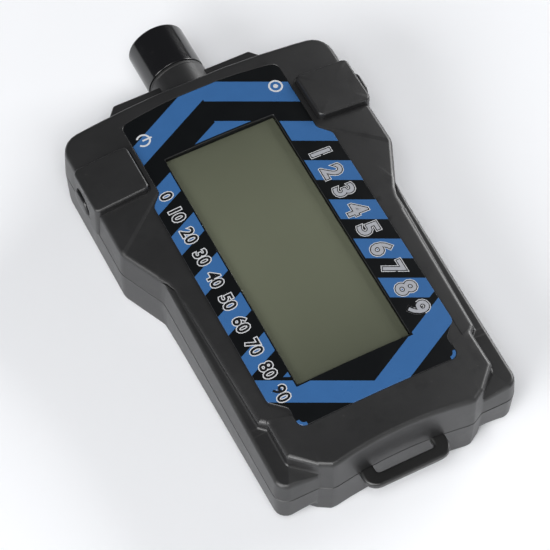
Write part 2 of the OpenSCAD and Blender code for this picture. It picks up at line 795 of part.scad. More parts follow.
// Two sheets of glass, the upper one narrower, so that the lower one's contacts lie bare
module display_glass() {
    sheet = glass_t / 2;
    color([0.45, 0.46, 0.4]) translate([window_x, y_window, 0]) {
        translate([-glass_w / 2, -glass_l / 2, glass_z + sheet]) cube([glass_w, glass_l, sheet]);
        translate([-glass_w / 2 + ledge_w, -glass_l / 2, glass_z])
            cube([glass_w - 2 * ledge_w, glass_l, sheet]);
    }
}

module display_frame() {
    inner_w = glass_w + 2 * drop_gap;
    inner_l = glass_l + 2 * drop_gap;
    color([0.9, 0.9, 0.88]) translate([window_x, y_window, board_top]) difference() {
        translate([-frame_w / 2, -frame_l / 2, 0]) cube([frame_w, frame_l, strip_h + 0.9 * glass_t]);
        translate([-inner_w / 2, -inner_l / 2, -over]) cube([inner_w, inner_l, case_h]);
    }
}

module contact_strips() {
    color([0.85, 0.5, 0.55]) for (side = [-1, 1])
        translate([window_x + side * (glass_w - ledge_w) / 2 - strip_w / 2, y_window - window_l / 2,
            board_top]) cube([strip_w, window_l, strip_h + glass_t / 2]);
}

module main_board() {
    color([0.1, 0.4, 0.2]) difference() {
        translate([0, 0, board_z]) linear_extrude(board_t) polygon(mirrored(board_half));
        four_places(board_screw_places, board_z - over)
            cylinder(d = board_screw_d + 4 * pin_gap, h = board_t + 2 * over, $fn = round_facets);
        four_leads() translate([0, -lead_back, board_z - over])
            cylinder(d = lead_d + 2 * pin_gap, h = board_t + 2 * over, $fn = round_facets);
        both_sides() translate([cell_x - tail_w / 2 - drop_gap, y_bay_top - contact_t - drop_gap,
            board_z - over]) cube([tail_w + 2 * drop_gap, contact_t + 2 * drop_gap, board_t + 2 * over]);
    }
}

// A flat chip under the board, with its rows of legs
module processor() {
    translate([0, (y_bay_top + bay_wall + y_resistors) / 2, board_z - chip_t]) {
        color([0.12, 0.12, 0.12]) translate([-chip_w / 2, -chip_w / 2, 0])
            cube([chip_w, chip_w, 0.9 * chip_t]);
        color("silver") for (side = [-1, 1]) for (k = [0:leg_count - 1])
            translate([side * 0.56 * chip_w - 0.07 * chip_w,
                (k - (leg_count - 1) / 2) * leg_pitch - leg_pitch / 4, 0.4 * chip_t])
                cube([0.14 * chip_w, leg_pitch / 2, 0.6 * chip_t]);
    }
}

module crystal() {
    color("silver") translate([board_w / 3, y_bay_top + 2 * bay_wall + crystal_l / 2, board_z - crystal_w])
        linear_extrude(crystal_w)
            polygon(rounded(mirrored([[crystal_w / 2, -crystal_l / 2 + crystal_w / 8],
                [crystal_w / 2, crystal_l / 2]]),
                [crystal_w / 3, crystal_w / 3, crystal_w / 3, crystal_w / 3]));
}

module capacitors() {
    color([0.2, 0.2, 0.45]) for (place = capacitor_places)
        translate([place[0], place[1], board_z - capacitor_d])
            cylinder(d = capacitor_d, h = capacitor_d, $fn = round_facets);
}

module resistors() {
    color([0.2, 0.2, 0.2]) for (k = [0:resistor_count - 1])
        translate([-board_w / 4 + k * board_w / 11, y_resistors, board_z - board_t / 2])
            cube([0.6 * resistor_l, resistor_l, board_t / 2]);
}

// A key, on the +X side: its crowned face, its flange inside the wall, and its stem to the switch
module key(proud) {
    face_x = head_w / 2 + proud;
    intersection() {
        key_bar(0, key_seat_x - drop_gap - key_flange_t, face_x);
        translate([face_x - key_crown_r, y_key, key_z]) sphere(r = key_crown_r, $fn = 2 * round_facets);
    }
    key_bar(key_flange_lip, key_seat_x - drop_gap - key_flange_t, key_seat_x - drop_gap);
    translate([plunger_tip_x + pin_gap, y_key - plunger_d / 2, key_z - plunger_d / 2])
        cube([key_seat_x - key_flange_t - drop_gap - plunger_tip_x - pin_gap, plunger_d, plunger_d]);
}

// A switch under the board, on the +X side, with the bore for its plunger
module switch_body() {
    h = 2 * (board_z - key_z);
    difference() {
        translate([switch_face_x - switch_depth, y_key - switch_l / 2, board_z - h])
            cube([switch_depth, switch_l, h]);
        translate([switch_face_x - switch_bore, y_key, key_z]) rotate([0, 90, 0])
            cylinder(d = plunger_d + 2 * pin_gap, h = switch_bore + over, $fn = round_facets);
    }
}

module plunger() {
    root = switch_face_x - switch_bore + plunger_reach;
    translate([root, y_key, key_z]) rotate([0, 90, 0])
        cylinder(d = plunger_d, h = plunger_tip_x - root, $fn = round_facets);
}

module power_key() {
    color([0.1, 0.1, 0.1]) mirror([1, 0, 0]) key(power_proud);
}

module power_switch() {
    color([0.25, 0.25, 0.27]) mirror([1, 0, 0]) switch_body();
}

module power_plunger() {
    color([0.6, 0.3, 0.2]) mirror([1, 0, 0]) plunger();
}

module set_key() {
    color([0.1, 0.1, 0.1]) key(set_proud);
}

module set_switch() {
    color([0.25, 0.25, 0.27]) switch_body();
}

module set_plunger() {
    color([0.6, 0.3, 0.2]) plunger();
}

// The hood turned about its axis: barrel, seal groove, spigot and flange
module lens_hood() {
    r = hood_d / 2;
    color([0.06, 0.06, 0.06]) translate([0, 0, seam_z]) rotate([-90, 0, 0])
        rotate_extrude($fn = 2 * round_facets) polygon([[light_d / 2, y_flange], [r, y_flange],
            [r, y_flange + flange_t], [spigot_d / 2, y_flange + flange_t], [spigot_d / 2, y_hood],
            [r, y_hood], [r, y_mouth - hood_corner], [r - hood_corner, y_mouth],
            [lens_seat_d / 2, y_mouth], [lens_seat_d / 2, y_lens], [light_d / 2, y_lens]]);
}

module objective_lens() {
    r = lens_seat_d / 2 - pin_gap;
    color([0.7, 0.8, 0.85, 0.5]) translate([0, 0, seam_z]) rotate([-90, 0, 0]) intersection() {
        translate([0, 0, y_lens]) cylinder(r = r, h = lens_t, $fn = round_facets);
        translate([0, 0, y_ring - lens_curve_r]) sphere(r = lens_curve_r, $fn = 2 * round_facets);
    }
}

module lens_ring() {
    color([0.08, 0.08, 0.08]) translate([0, y_ring, seam_z]) rotate([-90, 0, 0]) difference() {
        translate([0, 0, -lens_ring_drop])
            cylinder(d = lens_seat_d - 2 * pin_gap, h = lens_ring_t + lens_ring_drop, $fn = round_facets);
        translate([0, 0, -lens_curve_r]) sphere(r = lens_curve_r + pin_gap, $fn = 2 * round_facets);
        translate([0, 0, -over - lens_ring_drop])
            cylinder(d = lens_ring_d, h = lens_ring_t + lens_ring_drop + 2 * over, $fn = round_facets);
    }
}

module hood_seal() {
    rim = seal_t / 4;
    r = hood_d / 2 - rim;
    color([0.03, 0.03, 0.03]) translate([0, 0, seam_z]) rotate([-90, 0, 0])
        rotate_extrude($fn = 2 * round_facets) polygon([[spigot_d / 2 + pin_gap, y_neck], [r - rim, y_neck],
            [r, y_neck + rim], [r, y_hood - rim], [r - rim, y_hood], [spigot_d / 2 + pin_gap, y_hood]]);
}

// The block under the board that holds the light source and the sensor side by side
module bulb_holder() {
    color([0.2, 0.2, 0.2]) difference() {
        translate([-holder_w / 2, y_bulb + collar_t, seam_z - holder_h / 2])
            cube([holder_w, holder_l, board_z - seam_z + holder_h / 2]);
        both_sides() translate([bulb_pitch / 2, 0, 0]) lens_bar(bulb_d + 2 * pin_gap, y_bulb, y_bulb_tip);
    }
}

// A small domed bulb with a flange at its back
module bulb() {
    r = bulb_d / 2;
    lens_bar(collar_d, y_bulb, y_bulb + collar_t);
    lens_bar(bulb_d, y_bulb, y_bulb_tip - r);
    translate([0, y_bulb_tip - r, seam_z]) sphere(r = r, $fn = round_facets);
}

module light_source() {
    color([0.8, 0.15, 0.15]) translate([-bulb_pitch / 2, 0, 0]) bulb();
}

module light_sensor() {
    color([0.3, 0.3, 0.45]) translate([bulb_pitch / 2, 0, 0]) bulb();
}

module four_leads() {
    both_sides() for (side = [-1, 1])
        translate([bulb_pitch / 2 + side * lead_pitch / 2, y_bulb, 0]) children();
}

// Leads that leave the backs of the two bulbs and turn up through the board
module bulb_leads() {
    color("silver") four_leads() translate([0, 0, seam_z]) {
        rotate([90, 0, 0]) cylinder(d = lead_d, h = lead_back, $fn = round_facets);
        translate([0, -lead_back, 0]) sphere(d = lead_d, $fn = round_facets);
        translate([0, -lead_back, 0])
            cylinder(d = lead_d, h = board_top - seam_z + lead_d, $fn = round_facets);
    }
}

module lanyard_loop() {
    color([0.08, 0.08, 0.08]) translate([0, 0, loop_z]) difference() {
        linear_extrude(loop_t) {
            difference() {
                translate([-foot_w / 2, y_end]) square([foot_w, foot_l - drop_gap]);
                difference() {
                    translate([-foot_w, y_end - over]) square([2 * foot_w, end_hollow + over]);
                    case_outline(0);
                }
            }
            polygon(rounded(mirrored([[loop_w / 2, y_end - loop_reach], [loop_w / 2, y_end + bulge_step]]),
                [loop_bar, 0, 0, loop_bar]));
        }
        translate([0, 0, -over]) linear_extrude(loop_t + 2 * over) difference() {
            polygon(rounded(mirrored([[slot_w / 2, slot_y], [slot_w / 2, y_end + end_hollow + over]]),
                [loop_bar / 4, 0, 0, loop_bar / 4]));
            case_outline(0);
        }
        both_sides() translate([peg_x, peg_y, -over])
            cylinder(r = peg_r + pin_gap, h = loop_t + 2 * over, $fn = round_facets);
    }
}

// A contact plate that stands against the bay's lens end, with a tail up through the roof
module lens_end_contact() {
    translate([cell_x - contact_w / 2, y_bay_top - contact_t, contact_z])
        cube([contact_w, contact_t, contact_top - contact_z]);
    translate([cell_x - tail_w / 2, y_bay_top - contact_t, cell_z])
        cube([tail_w, contact_t, board_top + contact_t - cell_z]);
}

module positive_contact() {
    color("silver") mirror([1, 0, 0]) {
        lens_end_contact();
        translate([cell_x, y_bay_top - contact_t, cell_z]) rotate([90, 0, 0])
            cylinder(d = cell_tip_d, h = drop_gap / 2, $fn = round_facets);
    }
}

module negative_contact() {
    color("silver") lens_end_contact();
}

module bridge_contact() {
    w = 2 * cell_x + contact_w;
    color("silver") {
        translate([-w / 2, y_bay_end, contact_z]) cube([w, contact_t, contact_top - contact_z]);
        translate([cell_x, y_bay_end + contact_t, cell_z]) rotate([-90, 0, 0])
            cylinder(d = cell_tip_d, h = drop_gap / 2, $fn = round_facets);
    }
}

// The middle of the wire at a place along a conical spring that rises along Z
function spring_place(t) =
    let (r = (spring_d - spring_wire) / 2 * (1 - spring_taper_share * t), a = 360 * spring_turns * t)
    [r * cos(a), r * sin(a), spring_wire / 2 + (spring_l - spring_wire) * t];

// The points round the wire at that place
function spring_ring(t) = let (a = 360 * spring_turns * t, c = spring_place(t), r = spring_wire / 2)
    [for (k = [0:spring_sides - 1]) let (b = 360 * k / spring_sides)
        c + r * [cos(b) * cos(a), cos(b) * sin(a), sin(b)]];

spring_rings = spring_turns * spring_steps;
spring_gap = min([for (i = [0:spring_rings]) for (j = [i + spring_steps - 2:spring_rings])
    norm(spring_place(j / spring_rings) - spring_place(i / spring_rings))]) - spring_wire;
echo(spring_gap = spring_gap);

module battery_spring() {
    last = spring_rings * spring_sides;
    polyhedron([for (i = [0:spring_rings]) each spring_ring(i / spring_rings)], concat(
        [for (i = [0:spring_rings - 1]) for (k = [0:spring_sides - 1])
            let (a = i * spring_sides, b = a + spring_sides, n = (k + 1) % spring_sides)
            each [[a + k, b + k, a + n], [a + n, b + k, b + n]]],
        [for (k = [1:spring_sides - 2]) each [[0, k, k + 1], [last, last + k + 1, last + k]]]));
}

module battery_springs() {
    color("silver") {
        translate([-cell_x, y_bay_end + contact_t, cell_z]) rotate([-90, 0, 0]) battery_spring();
        translate([cell_x, y_bay_top - contact_t, cell_z]) rotate([90, 0, 0]) battery_spring();
    }
}

// A cell standing on its flat end, its tip up
module cell() {
    r = cell_d / 2;
    rim = cell_d / 20;
    rotate_extrude($fn = 2 * round_facets) polygon([[0, 0], [r - rim, 0], [r, rim],
        [r, cell_l - cell_tip_h - rim], [r - rim, cell_l - cell_tip_h], [cell_tip_d / 2, cell_l - cell_tip_h],
        [cell_tip_d / 2, cell_l], [0, cell_l]]);
}

module left_cell() {
    color([0.75, 0.6, 0.3])
        translate([-cell_x, y_bay_top - contact_t - drop_gap / 2 - cell_l, cell_z])
        rotate([-90, 0, 0]) cell();
}

module right_cell() {
    color([0.75, 0.6, 0.3])
        translate([cell_x, y_bay_end + contact_t + drop_gap / 2 + cell_l, cell_z])
        rotate([90, 0, 0]) cell();
}

// A screw pointing up, its head under z = 0, with a cross cut in the head
module screw(shank_d, shank_l, head_d, head_t) {
    difference() {
        union() {
            cylinder(d = shank_d, h = shank_l, $fn = round_facets);
            translate([0, 0, -head_t]) cylinder(d = head_d, h = head_t, $fn = round_facets);
        }
        for (angle = [0, 90]) rotate([0, 0, angle])
            translate([-driver_share * head_d, -driver_share * head_d / 4, -head_t - over])
                cube([2 * driver_share * head_d, driver_share * head_d / 2, over + head_t / 2]);
    }
}

module case_screws() {
    color([0.3, 0.3, 0.3]) four_places(case_screw_places, case_seat_z)
        screw(case_screw_d, case_screw_l, case_head_d, case_head_t);
}

module board_screws() {
    color("silver") four_places(board_screw_places, board_z)
        screw(board_screw_d, board_screw_l, board_head_d, board_head_t);
}

front_shell();
rear_shell();
battery_door();
face_label();
display_pane();
display_glass();
display_frame();
contact_strips();
main_board();
processor();
crystal();
capacitors();
resistors();
power_key();
power_switch();
power_plunger();
set_key();
set_switch();
set_plunger();
lens_hood();
objective_lens();
lens_ring();
hood_seal();
bulb_holder();
light_source();
light_sensor();
bulb_leads();
lanyard_loop();
positive_contact();
negative_contact();
bridge_contact();
battery_springs();
left_cell();
right_cell();
case_screws();
board_screws();
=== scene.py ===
"""Looks for the handheld optical tachometer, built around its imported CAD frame.

Lengths in the properties are metres; the outlines below are worked out in millimetres.
"""
import json
import math
from functools import partialmethod

import bmesh
import bpy
from bpy.props import FloatProperty, FloatVectorProperty, IntProperty, PointerProperty
from mathutils import Matrix, Vector

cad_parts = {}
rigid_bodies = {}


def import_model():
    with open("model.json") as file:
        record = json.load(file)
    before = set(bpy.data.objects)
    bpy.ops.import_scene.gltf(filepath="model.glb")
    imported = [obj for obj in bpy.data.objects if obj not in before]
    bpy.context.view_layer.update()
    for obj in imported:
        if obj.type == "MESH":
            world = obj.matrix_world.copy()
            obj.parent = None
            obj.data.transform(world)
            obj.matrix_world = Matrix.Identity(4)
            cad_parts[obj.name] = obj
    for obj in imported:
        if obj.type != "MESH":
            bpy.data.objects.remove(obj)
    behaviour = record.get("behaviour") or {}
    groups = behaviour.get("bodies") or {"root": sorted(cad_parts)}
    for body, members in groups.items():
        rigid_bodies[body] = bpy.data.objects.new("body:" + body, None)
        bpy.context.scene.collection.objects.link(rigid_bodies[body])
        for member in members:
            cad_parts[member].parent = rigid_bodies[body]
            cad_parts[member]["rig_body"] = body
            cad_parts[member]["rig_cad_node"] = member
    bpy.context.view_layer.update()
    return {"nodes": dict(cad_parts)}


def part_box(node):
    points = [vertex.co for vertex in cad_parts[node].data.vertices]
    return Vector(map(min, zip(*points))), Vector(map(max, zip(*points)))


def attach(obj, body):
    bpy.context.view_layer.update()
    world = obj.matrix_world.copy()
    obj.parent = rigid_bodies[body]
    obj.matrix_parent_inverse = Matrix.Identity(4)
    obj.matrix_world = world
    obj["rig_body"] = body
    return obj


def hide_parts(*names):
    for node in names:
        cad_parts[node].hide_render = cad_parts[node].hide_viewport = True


bl_info = {
    "name": "Optical tachometer",
    "version": (1, 0, 0),
    "blender": (4, 5, 0),
    "location": "View3D > Sidebar > Tachometer",
    "description": "Builds the shells, the printed face, the keys and the lens tube of a tachometer",
    "category": "Object",
}

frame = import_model()
MM = 0.001
ARC_STEPS = 5
# Turns below this many radians are taken as straight; points closer than WELD are one
STRAIGHT, WELD = 0.12, 0.002
# Edges that turn by more than this many degrees stay sharp
SMOOTH_ANGLE = 32


# ---------------------------------------------------------------- properties

def length(name, about, value, low, high):
    """A length property, from values in millimetres."""
    return FloatProperty(name=name, description=about, default=value * MM, min=low * MM, max=high * MM,
                         unit="LENGTH")


def shade(name, about, value):
    """A colour property."""
    return FloatVectorProperty(name=name, description=about, subtype="COLOR", size=3, min=0, max=1,
                               default=value)


def bearing(name, about, degrees, low, high):
    """An angle property, from a value in degrees and limits in radians."""
    return FloatProperty(name=name, description=about, subtype="ANGLE", default=math.radians(degrees),
                         min=low, max=high)


class CaseSizes(bpy.types.PropertyGroup):
    edge_round: length("Face edge", "Rounding of the raised face's edge", 0.9, 0.2, 1.4)
    shoulder_round: length("Shoulder edge", "Rounding of the shoulders' outer edge", 0.8, 0.2, 1.2)
    foot_round: length("Foot of the face", "Fillet where the face rises from a shoulder", 0.45, 0.1, 0.8)
    draft: length("Draft", "How far a side wall leans in from the seam to its top", 0.3, 0.0, 0.5)
    groove: length("Seam groove", "Depth of the groove along the seam", 0.3, 0.05, 0.4)
    strip_drop: length("Side strips", "How far the face's side strips lie lower", 0.22, 0.0, 0.28)
    pad_round: length("Pad edge", "Rounding of a pad's upper edge", 0.5, 0.1, 0.9)
    boss_round: length("Boss edge", "Rounding of the lens boss's edges", 0.5, 0.1, 0.9)


class FaceSizes(bpy.types.PropertyGroup):
    numeral_size: length("Numerals", "Height of the numerals of the scale", 2.5, 1, 5)
    large_size: length("Large numerals", "Height of the numerals on the other strip", 4.0, 1, 6)
    ink: length("Ink", "Thickness of the printed marks", 0.012, 0.005, 0.05)


class Colours(bpy.types.PropertyGroup):
    case: shade("Case", "Moulded plastic of the case", (0.0125, 0.0125, 0.0130))
    blue: shade("Stripes", "Printed stripes of the face", (0.034, 0.118, 0.30))
    face: shade("Face", "Ground of the printed face", (0.0022, 0.0028, 0.0034))
    display: shade("Display", "Unlit display", (0.165, 0.17, 0.122))
    floor: shade("Floor", "Table and backdrop", (0.90, 0.91, 0.935))


class Studio(bpy.types.PropertyGroup):
    distance: FloatProperty(name="Camera distance", description="From the camera to its target",
                            default=0.476936, min=0.2, max=2, unit="LENGTH")
    lens: FloatProperty(name="Lens", description="Focal length of the camera", default=156.6,
                        min=20, max=400, unit="CAMERA")
    azimuth: bearing("Azimuth", "Turn of the camera about the case", -27.14887, -math.pi, math.pi)
    elevation: bearing("Elevation", "Height of the camera as an angle", 58.22901, 0, math.pi / 2)
    roll: bearing("Roll", "Roll of the camera about its line of sight", 0.09757, -1, 1)
    sides: IntProperty(name="Round sides", description="Sides of the turned pieces", default=96,
                       min=24, max=192)


# ---------------------------------------------------------------- outlines, in millimetres

Y_END, Y_CORNER, Y_LOW, Y_HIGH, Y_FRONT = -52.0, -50.8, -1.9, 7.8, 37.5
Y_BOSS, Y_NECK, Y_HOOD, Y_RING, Y_MOUTH = 42.9, 44.4, 45.2, 52.4, 55.4
SEAM_Z, CROWN_Z, CROWN_R = 9.35, 18.4, 230.0
WALL, ROOF_T, FLOOR_T = 1.6, 1.5, 1.5
HOLLOW, HOLLOW_W, ARCH = 1.1, 13.8, 1.0
ARCH_SHARES = (0.25, 0.5, 0.75)
RECESS, GAP = 0.3, 0.1
WINDOW_X, WINDOW_Y, WINDOW_HALF_W, WINDOW_HALF_L = -1.1, -5.425, 12.0, 28.425
LABEL_FOOT_W, LABEL_ARCH, LABEL_T = 13.2, 1.2, 0.29
PAD_X, PAD_Y, PAD_HALF, PAD_R, PAD_H, PAD_SIDE = 18.6, 23.3, 5.65, 1.2, 1.5, 30.4
SEAM_ROOM, SEAM_LIP = 0.01, 0.2
# The front shoulders' height at the waist, and how much further the shoulders fall towards the loop
SHOULDER_Z, FRONT_FALL, REAR_FALL = 16.75, 2.4, 2.3
# The lens tube's radii: outside, the neck's bore, the light's passage and the end of the flange
TUBE_R, BORE_R, LIGHT_R, Y_FLANGE = 6.2, 4.55, 3.2, 36.7
# The radii of the hood's spigot and mouth, the lens's seat, and half the height of the block about them
SPIGOT_R, MOUTH_R, Y_SEAT, BOSS_H = 4.5, 5.0, 50.0, 3.65
# Case screws: places on one side, and the wells' and posts' radii and tops
SCREW_PLACES, SCREW_WELL_R, SCREW_POST_R = ((17.5, -46.0), (24.4, 32.54)), 2.15, 3.0
SCREW_WELL_TOP, SCREW_POST_TOP = 3.2, 9.2
# Rear shell: half width and both ends along Y of the door's rebate, the bay and the block round the bay
DOOR, BAY, BAY_BLOCK = (12.15, -48.0, 3.9), (10.95, -46.8, 2.7), (12.55, -48.4, 4.3)
BAY_TOP, BAY_BLOCK_TOP, EDGE_BREAK = 12.0, 12.9, 0.08
# The door hooks' pockets, and the finger dip at the door's end
HOOK_X, HOOK_HALF_W, HOOK_TOP, DIP_R, DIP_TOP = 6.5, 2.2, 2.9, 2.25, 0.95
# The side keys: their middles, half sizes, corner radius, and how far out each one's parts reach
KEY_Y, KEY_Z, KEY_HALF_L, KEY_HALF_H, KEY_R = 25.5, 11.2, 2.8, 2.0, 1.8
KEY_BASE, KEY_FLANGE, KEY_CROWN, STEM_HALF, KEY_HOLLOW_R = 27.4, 28.28, 0.12, 1.2, 4.4
POWER_OUT, SET_OUT = 30.7, 32.7

# Half outlines from the loop's end to the lens's end: x, y, corner radius (or half a straight run's spread)
CASE = ((15, Y_END, 1.2), (17.2, Y_CORNER, 1.2), (25.5, Y_CORNER, 2.8), (25.5, -38.6, 0.25),
        (25.5, -37.2, 0.25), (25.5, -7.5, 0.25), (25.5, Y_LOW, 4), (26.3, -0.2, 0.3), (30, Y_HIGH, 4),
        (30, Y_FRONT, 4.5))
FACE = ((15, Y_END, 1.2), (16.75, -50.5, 0.4), (21.9, -46.2, 1.2), (21.9, -38.4, 0.5), (23.2, -37.2, 0.5),
        (24.19, -7.5, 0.25), (24.3, -4.2, 3), (26.3, -0.2, 0.3), (30, Y_HIGH, 4), (30, Y_FRONT, 4.5))
LABEL = ((16.7, -42, 1.57), (16.7, -39.9, 0.15), (16.7, -39.0, 0.15), (16.7, -37.3, 1.57),
         (19.6, -34.4, 1.57), (19.6, -9, 0.5), (19.6, -4, 0.5), (19.6, 14.15, 1.57), (17.25, 16.5, 1.57),
         (17.25, 34.1, 1.57))
NEST = ((16.8, -42.1, 1.6), (16.8, -40.2, 0.15), (16.8, -39.4, 0.15), (16.8, -38.87, 0.25),
        (19.7, -38.87, 0.9), (19.7, -9, 0.5), (19.7, -4, 0.5), (19.7, 14.15, 1.57), (17.35, 16.5, 1.57),
        (17.35, 34.2, 1.57))


def crown(x, drop=0.0):
    """Height of the crowned face at a distance from its middle."""
    return CROWN_Z - CROWN_R + math.sqrt(CROWN_R ** 2 - x ** 2) - drop


def crowned(drop=0.0):
    """A height for lifted(): that of the crowned face, or of a depth below it."""
    return lambda x, y: crown(x, drop)


def both_halves(half, low_w=HOLLOW_W, hollow=0.0, rise=0.0):
    """A full outline, anticlockwise, from half of it, with a hollow lower edge and an arched upper one."""
    low, high = half[0][1], half[-1]
    start = [(s * low_w, low + hollow * (1 - s * s), 0) for s in ARCH_SHARES] + [(low_w, low, 0)]
    end = [(s * high[0], high[1] + rise * (1 - s * s), 0) for s in reversed(ARCH_SHARES)]
    right = start + list(half) + end
    left = [(-x, y, r) for x, y, r in reversed(right)]
    return [(0, low + hollow, 0)] + right + left


def shell_outline(half):
    """The case's or the raised face's full outline."""
    return both_halves(half, hollow=HOLLOW, rise=ARCH)


def outline(corners, depth=0.0):
    """An anticlockwise outline moved in by a depth, each rounded corner made of the same number of points."""
    places = [Vector((x, y)) for x, y, r in corners]
    count = len(places)
    runs = [(places[(i + 1) % count] - places[i]).normalized() for i in range(count)]
    normals = [Vector((-d.y, d.x)) for d in runs]
    moved = []
    for i, place in enumerate(places):
        a, b = normals[i - 1], normals[i]
        moved.append(place + depth * (a + b) / (1 + a.dot(b)))
    points = []
    for i, (x, y, r) in enumerate(corners):
        if r == 0:
            points.append(moved[i])
            continue
        before, after = runs[i - 1], runs[i]
        turn = math.atan2(before.x * after.y - before.y * after.x, before.dot(after))
        if abs(turn) < STRAIGHT:
            points += [moved[i] + (before if k < ARC_STEPS / 2 else after) * r * (2 * k / ARC_STEPS - 1)
                       for k in range(ARC_STEPS + 1)]
            continue
        radius = max(r - depth, r / 4) if turn > 0 else r + depth
        first = moved[i] - before * radius * math.tan(abs(turn) / 2)
        centre = first + normals[i - 1] * radius * (1 if turn > 0 else -1)
        arm = first - centre
        for k in range(ARC_STEPS + 1):
            angle = turn * k / ARC_STEPS
            c, s = math.cos(angle), math.sin(angle)
            points.append(centre + Vector((arm.x * c - arm.y * s, arm.x * s + arm.y * c)))
    return points


def between(first, last, share):
    """Matched points part of the way from one ring to another."""
    return [a.lerp(b, share) for a, b in zip(first, last)]


def lifted(points, height):
    """A flat outline raised by a height, or by a function of its points' places."""
    if callable(height):
        return [Vector((p.x, p.y, height(p.x, p.y))) for p in points]
    return [Vector((p.x, p.y, height)) for p in points]


def boxed(low_x, high_x, low_y, high_y, r):
    """A rectangle's corners, anticlockwise, all with one radius."""
    return [(high_x, low_y, r), (high_x, high_y, r), (low_x, high_y, r), (low_x, low_y, r)]


def quarter(steps):
    """A rounded edge's steps: how far each lies in from the side and below the top, in radii."""
    turns = [math.pi / 2 * k / steps for k in range(steps + 1)]
    return [(1 - math.cos(turn), 1 - math.sin(turn)) for turn in turns]


PAD = boxed(PAD_X, PAD_SIDE, PAD_Y - PAD_HALF, PAD_Y + PAD_HALF, PAD_R)


# ---------------------------------------------------------------- modelling

def deselect():
    bpy.ops.object.select_all(action="DESELECT")


def only(piece):
    """Makes a piece the one that is selected and active."""
    deselect()
    bpy.context.view_layer.objects.active = piece
    piece.select_set(True)


def edit_all():
    """Opens the active object's mesh with all of it selected."""
    bpy.ops.object.mode_set(mode="EDIT")
    bpy.ops.mesh.select_all(action="SELECT")


def settle():
    """Puts the active object's place, turn and scale into its mesh."""
    bpy.ops.object.transform_apply(location=True, rotation=True, scale=True)


def close_mesh():
    """Turns an open mesh's faces outward and leaves it."""
    bpy.ops.mesh.select_all(action="SELECT")
    bpy.ops.mesh.normals_make_consistent(inside=False)
    bpy.ops.object.mode_set(mode="OBJECT")
    settle()


def loft(rings, joined=False, capped=(True, True)):
    """A skin drawn through rings of matched points: a circle, extruded edge by edge. It stays active."""
    deselect()
    count = len(rings[0])
    bpy.ops.mesh.primitive_circle_add(vertices=count, radius=MM)
    piece = bpy.context.object
    edit_all()
    bpy.ops.mesh.select_mode(type="VERT")
    mesh = bmesh.from_edit_mesh(piece.data)
    mesh.verts.ensure_lookup_table()
    order = {v.index: k for k, v in enumerate(mesh.verts)}
    for vert in mesh.verts:
        vert.co = rings[0][order[vert.index]] * MM
    for ring in rings[1:]:
        bpy.ops.mesh.extrude_region_move()
        mesh = bmesh.from_edit_mesh(piece.data)
        mesh.verts.index_update()
        fresh = {}
        for vert in mesh.verts:
            if vert.select:
                root = next(e.other_vert(vert) for e in vert.link_edges if not e.other_vert(vert).select)
                fresh[vert.index] = order[root.index]
                vert.co = ring[fresh[vert.index]] * MM
        order = fresh
    last = set(order)
    if joined:
        for vert in mesh.verts:
            vert.select = vert.index in last or vert.index < count
        mesh.select_flush(True)
        bpy.ops.mesh.select_mode(type="EDGE")
        bpy.ops.mesh.bridge_edge_loops()
    else:
        for at_end, wanted in zip((False, True), capped):
            if wanted:
                bpy.ops.mesh.select_mode(type="VERT")
                bpy.ops.mesh.select_all(action="DESELECT")
                mesh = bmesh.from_edit_mesh(piece.data)
                for vert in mesh.verts:
                    vert.select = vert.index in last if at_end else vert.index < count
                mesh.select_flush(True)
                bpy.ops.mesh.edge_face_add()
    close_mesh()
    return piece


def turned(profile, sides):
    """A round piece on the lens's axis: a profile of radius and place along Y, spun about the axis."""
    deselect()
    bpy.ops.mesh.primitive_circle_add(vertices=len(profile), radius=MM)
    piece = bpy.context.object
    for vert, (radius, y) in zip(piece.data.vertices, profile):
        vert.co = Vector((radius, y, SEAM_Z)) * MM
    edit_all()
    bpy.ops.mesh.spin(steps=sides, angle=2 * math.pi, center=(0, 0, SEAM_Z * MM), axis=(0, 1, 0))
    bpy.ops.mesh.select_all(action="SELECT")
    bpy.ops.mesh.remove_doubles(threshold=WELD * MM)
    close_mesh()
    return piece


def rounded_profile(points, segments=4):
    """A profile whose corners, given as radius, place and rounding, are drawn as arcs."""
    count = len(points)
    result = []
    for i, (x, y, r) in enumerate(points):
        here = Vector((x, y))
        if r == 0:
            result.append((x, y))
            continue
        a = (Vector(points[i - 1][:2]) - here).normalized()
        b = (Vector(points[(i + 1) % count][:2]) - here).normalized()
        half = math.acos(max(-1, min(1, a.dot(b)))) / 2
        reach = r / math.tan(half)
        centre = here + (a + b).normalized() * r / math.sin(half)
        start, stop = here + a * reach - centre, here + b * reach - centre
        sweep = math.atan2(start.x * stop.y - start.y * stop.x, start.dot(stop))
        for k in range(segments + 1):
            angle = sweep * k / segments
            c, s = math.cos(angle), math.sin(angle)
            result.append((centre.x + start.x * c - start.y * s, centre.y + start.x * s + start.y * c))
    return result


def box(low, high):
    """A plain block between two corners, used as a tool on other pieces."""
    deselect()
    low, high = Vector(low), Vector(high)
    bpy.ops.mesh.primitive_cube_add(size=1, location=(low + high) / 2 * MM, scale=(high - low) * MM)
    settle()
    return bpy.context.object


def rod(radius, start, end, sides=48):
    """A plain round bar between two places, used as a tool on other pieces."""
    deselect()
    start, end = Vector(start), Vector(end)
    run = end - start
    turn = run.to_track_quat("Z", "Y").to_euler()
    bpy.ops.mesh.primitive_cylinder_add(vertices=sides, radius=radius * MM, depth=run.length * MM,
                                        location=(start + end) / 2 * MM, rotation=turn)
    settle()
    return bpy.context.object


def modify(piece, kind, **settings):
    """Adds a modifier with its settings, and applies it."""
    only(piece)
    change = piece.modifiers.new("change", kind)
    for key, value in settings.items():
        setattr(change, key, value)
    bpy.ops.object.modifier_apply(modifier=change.name)


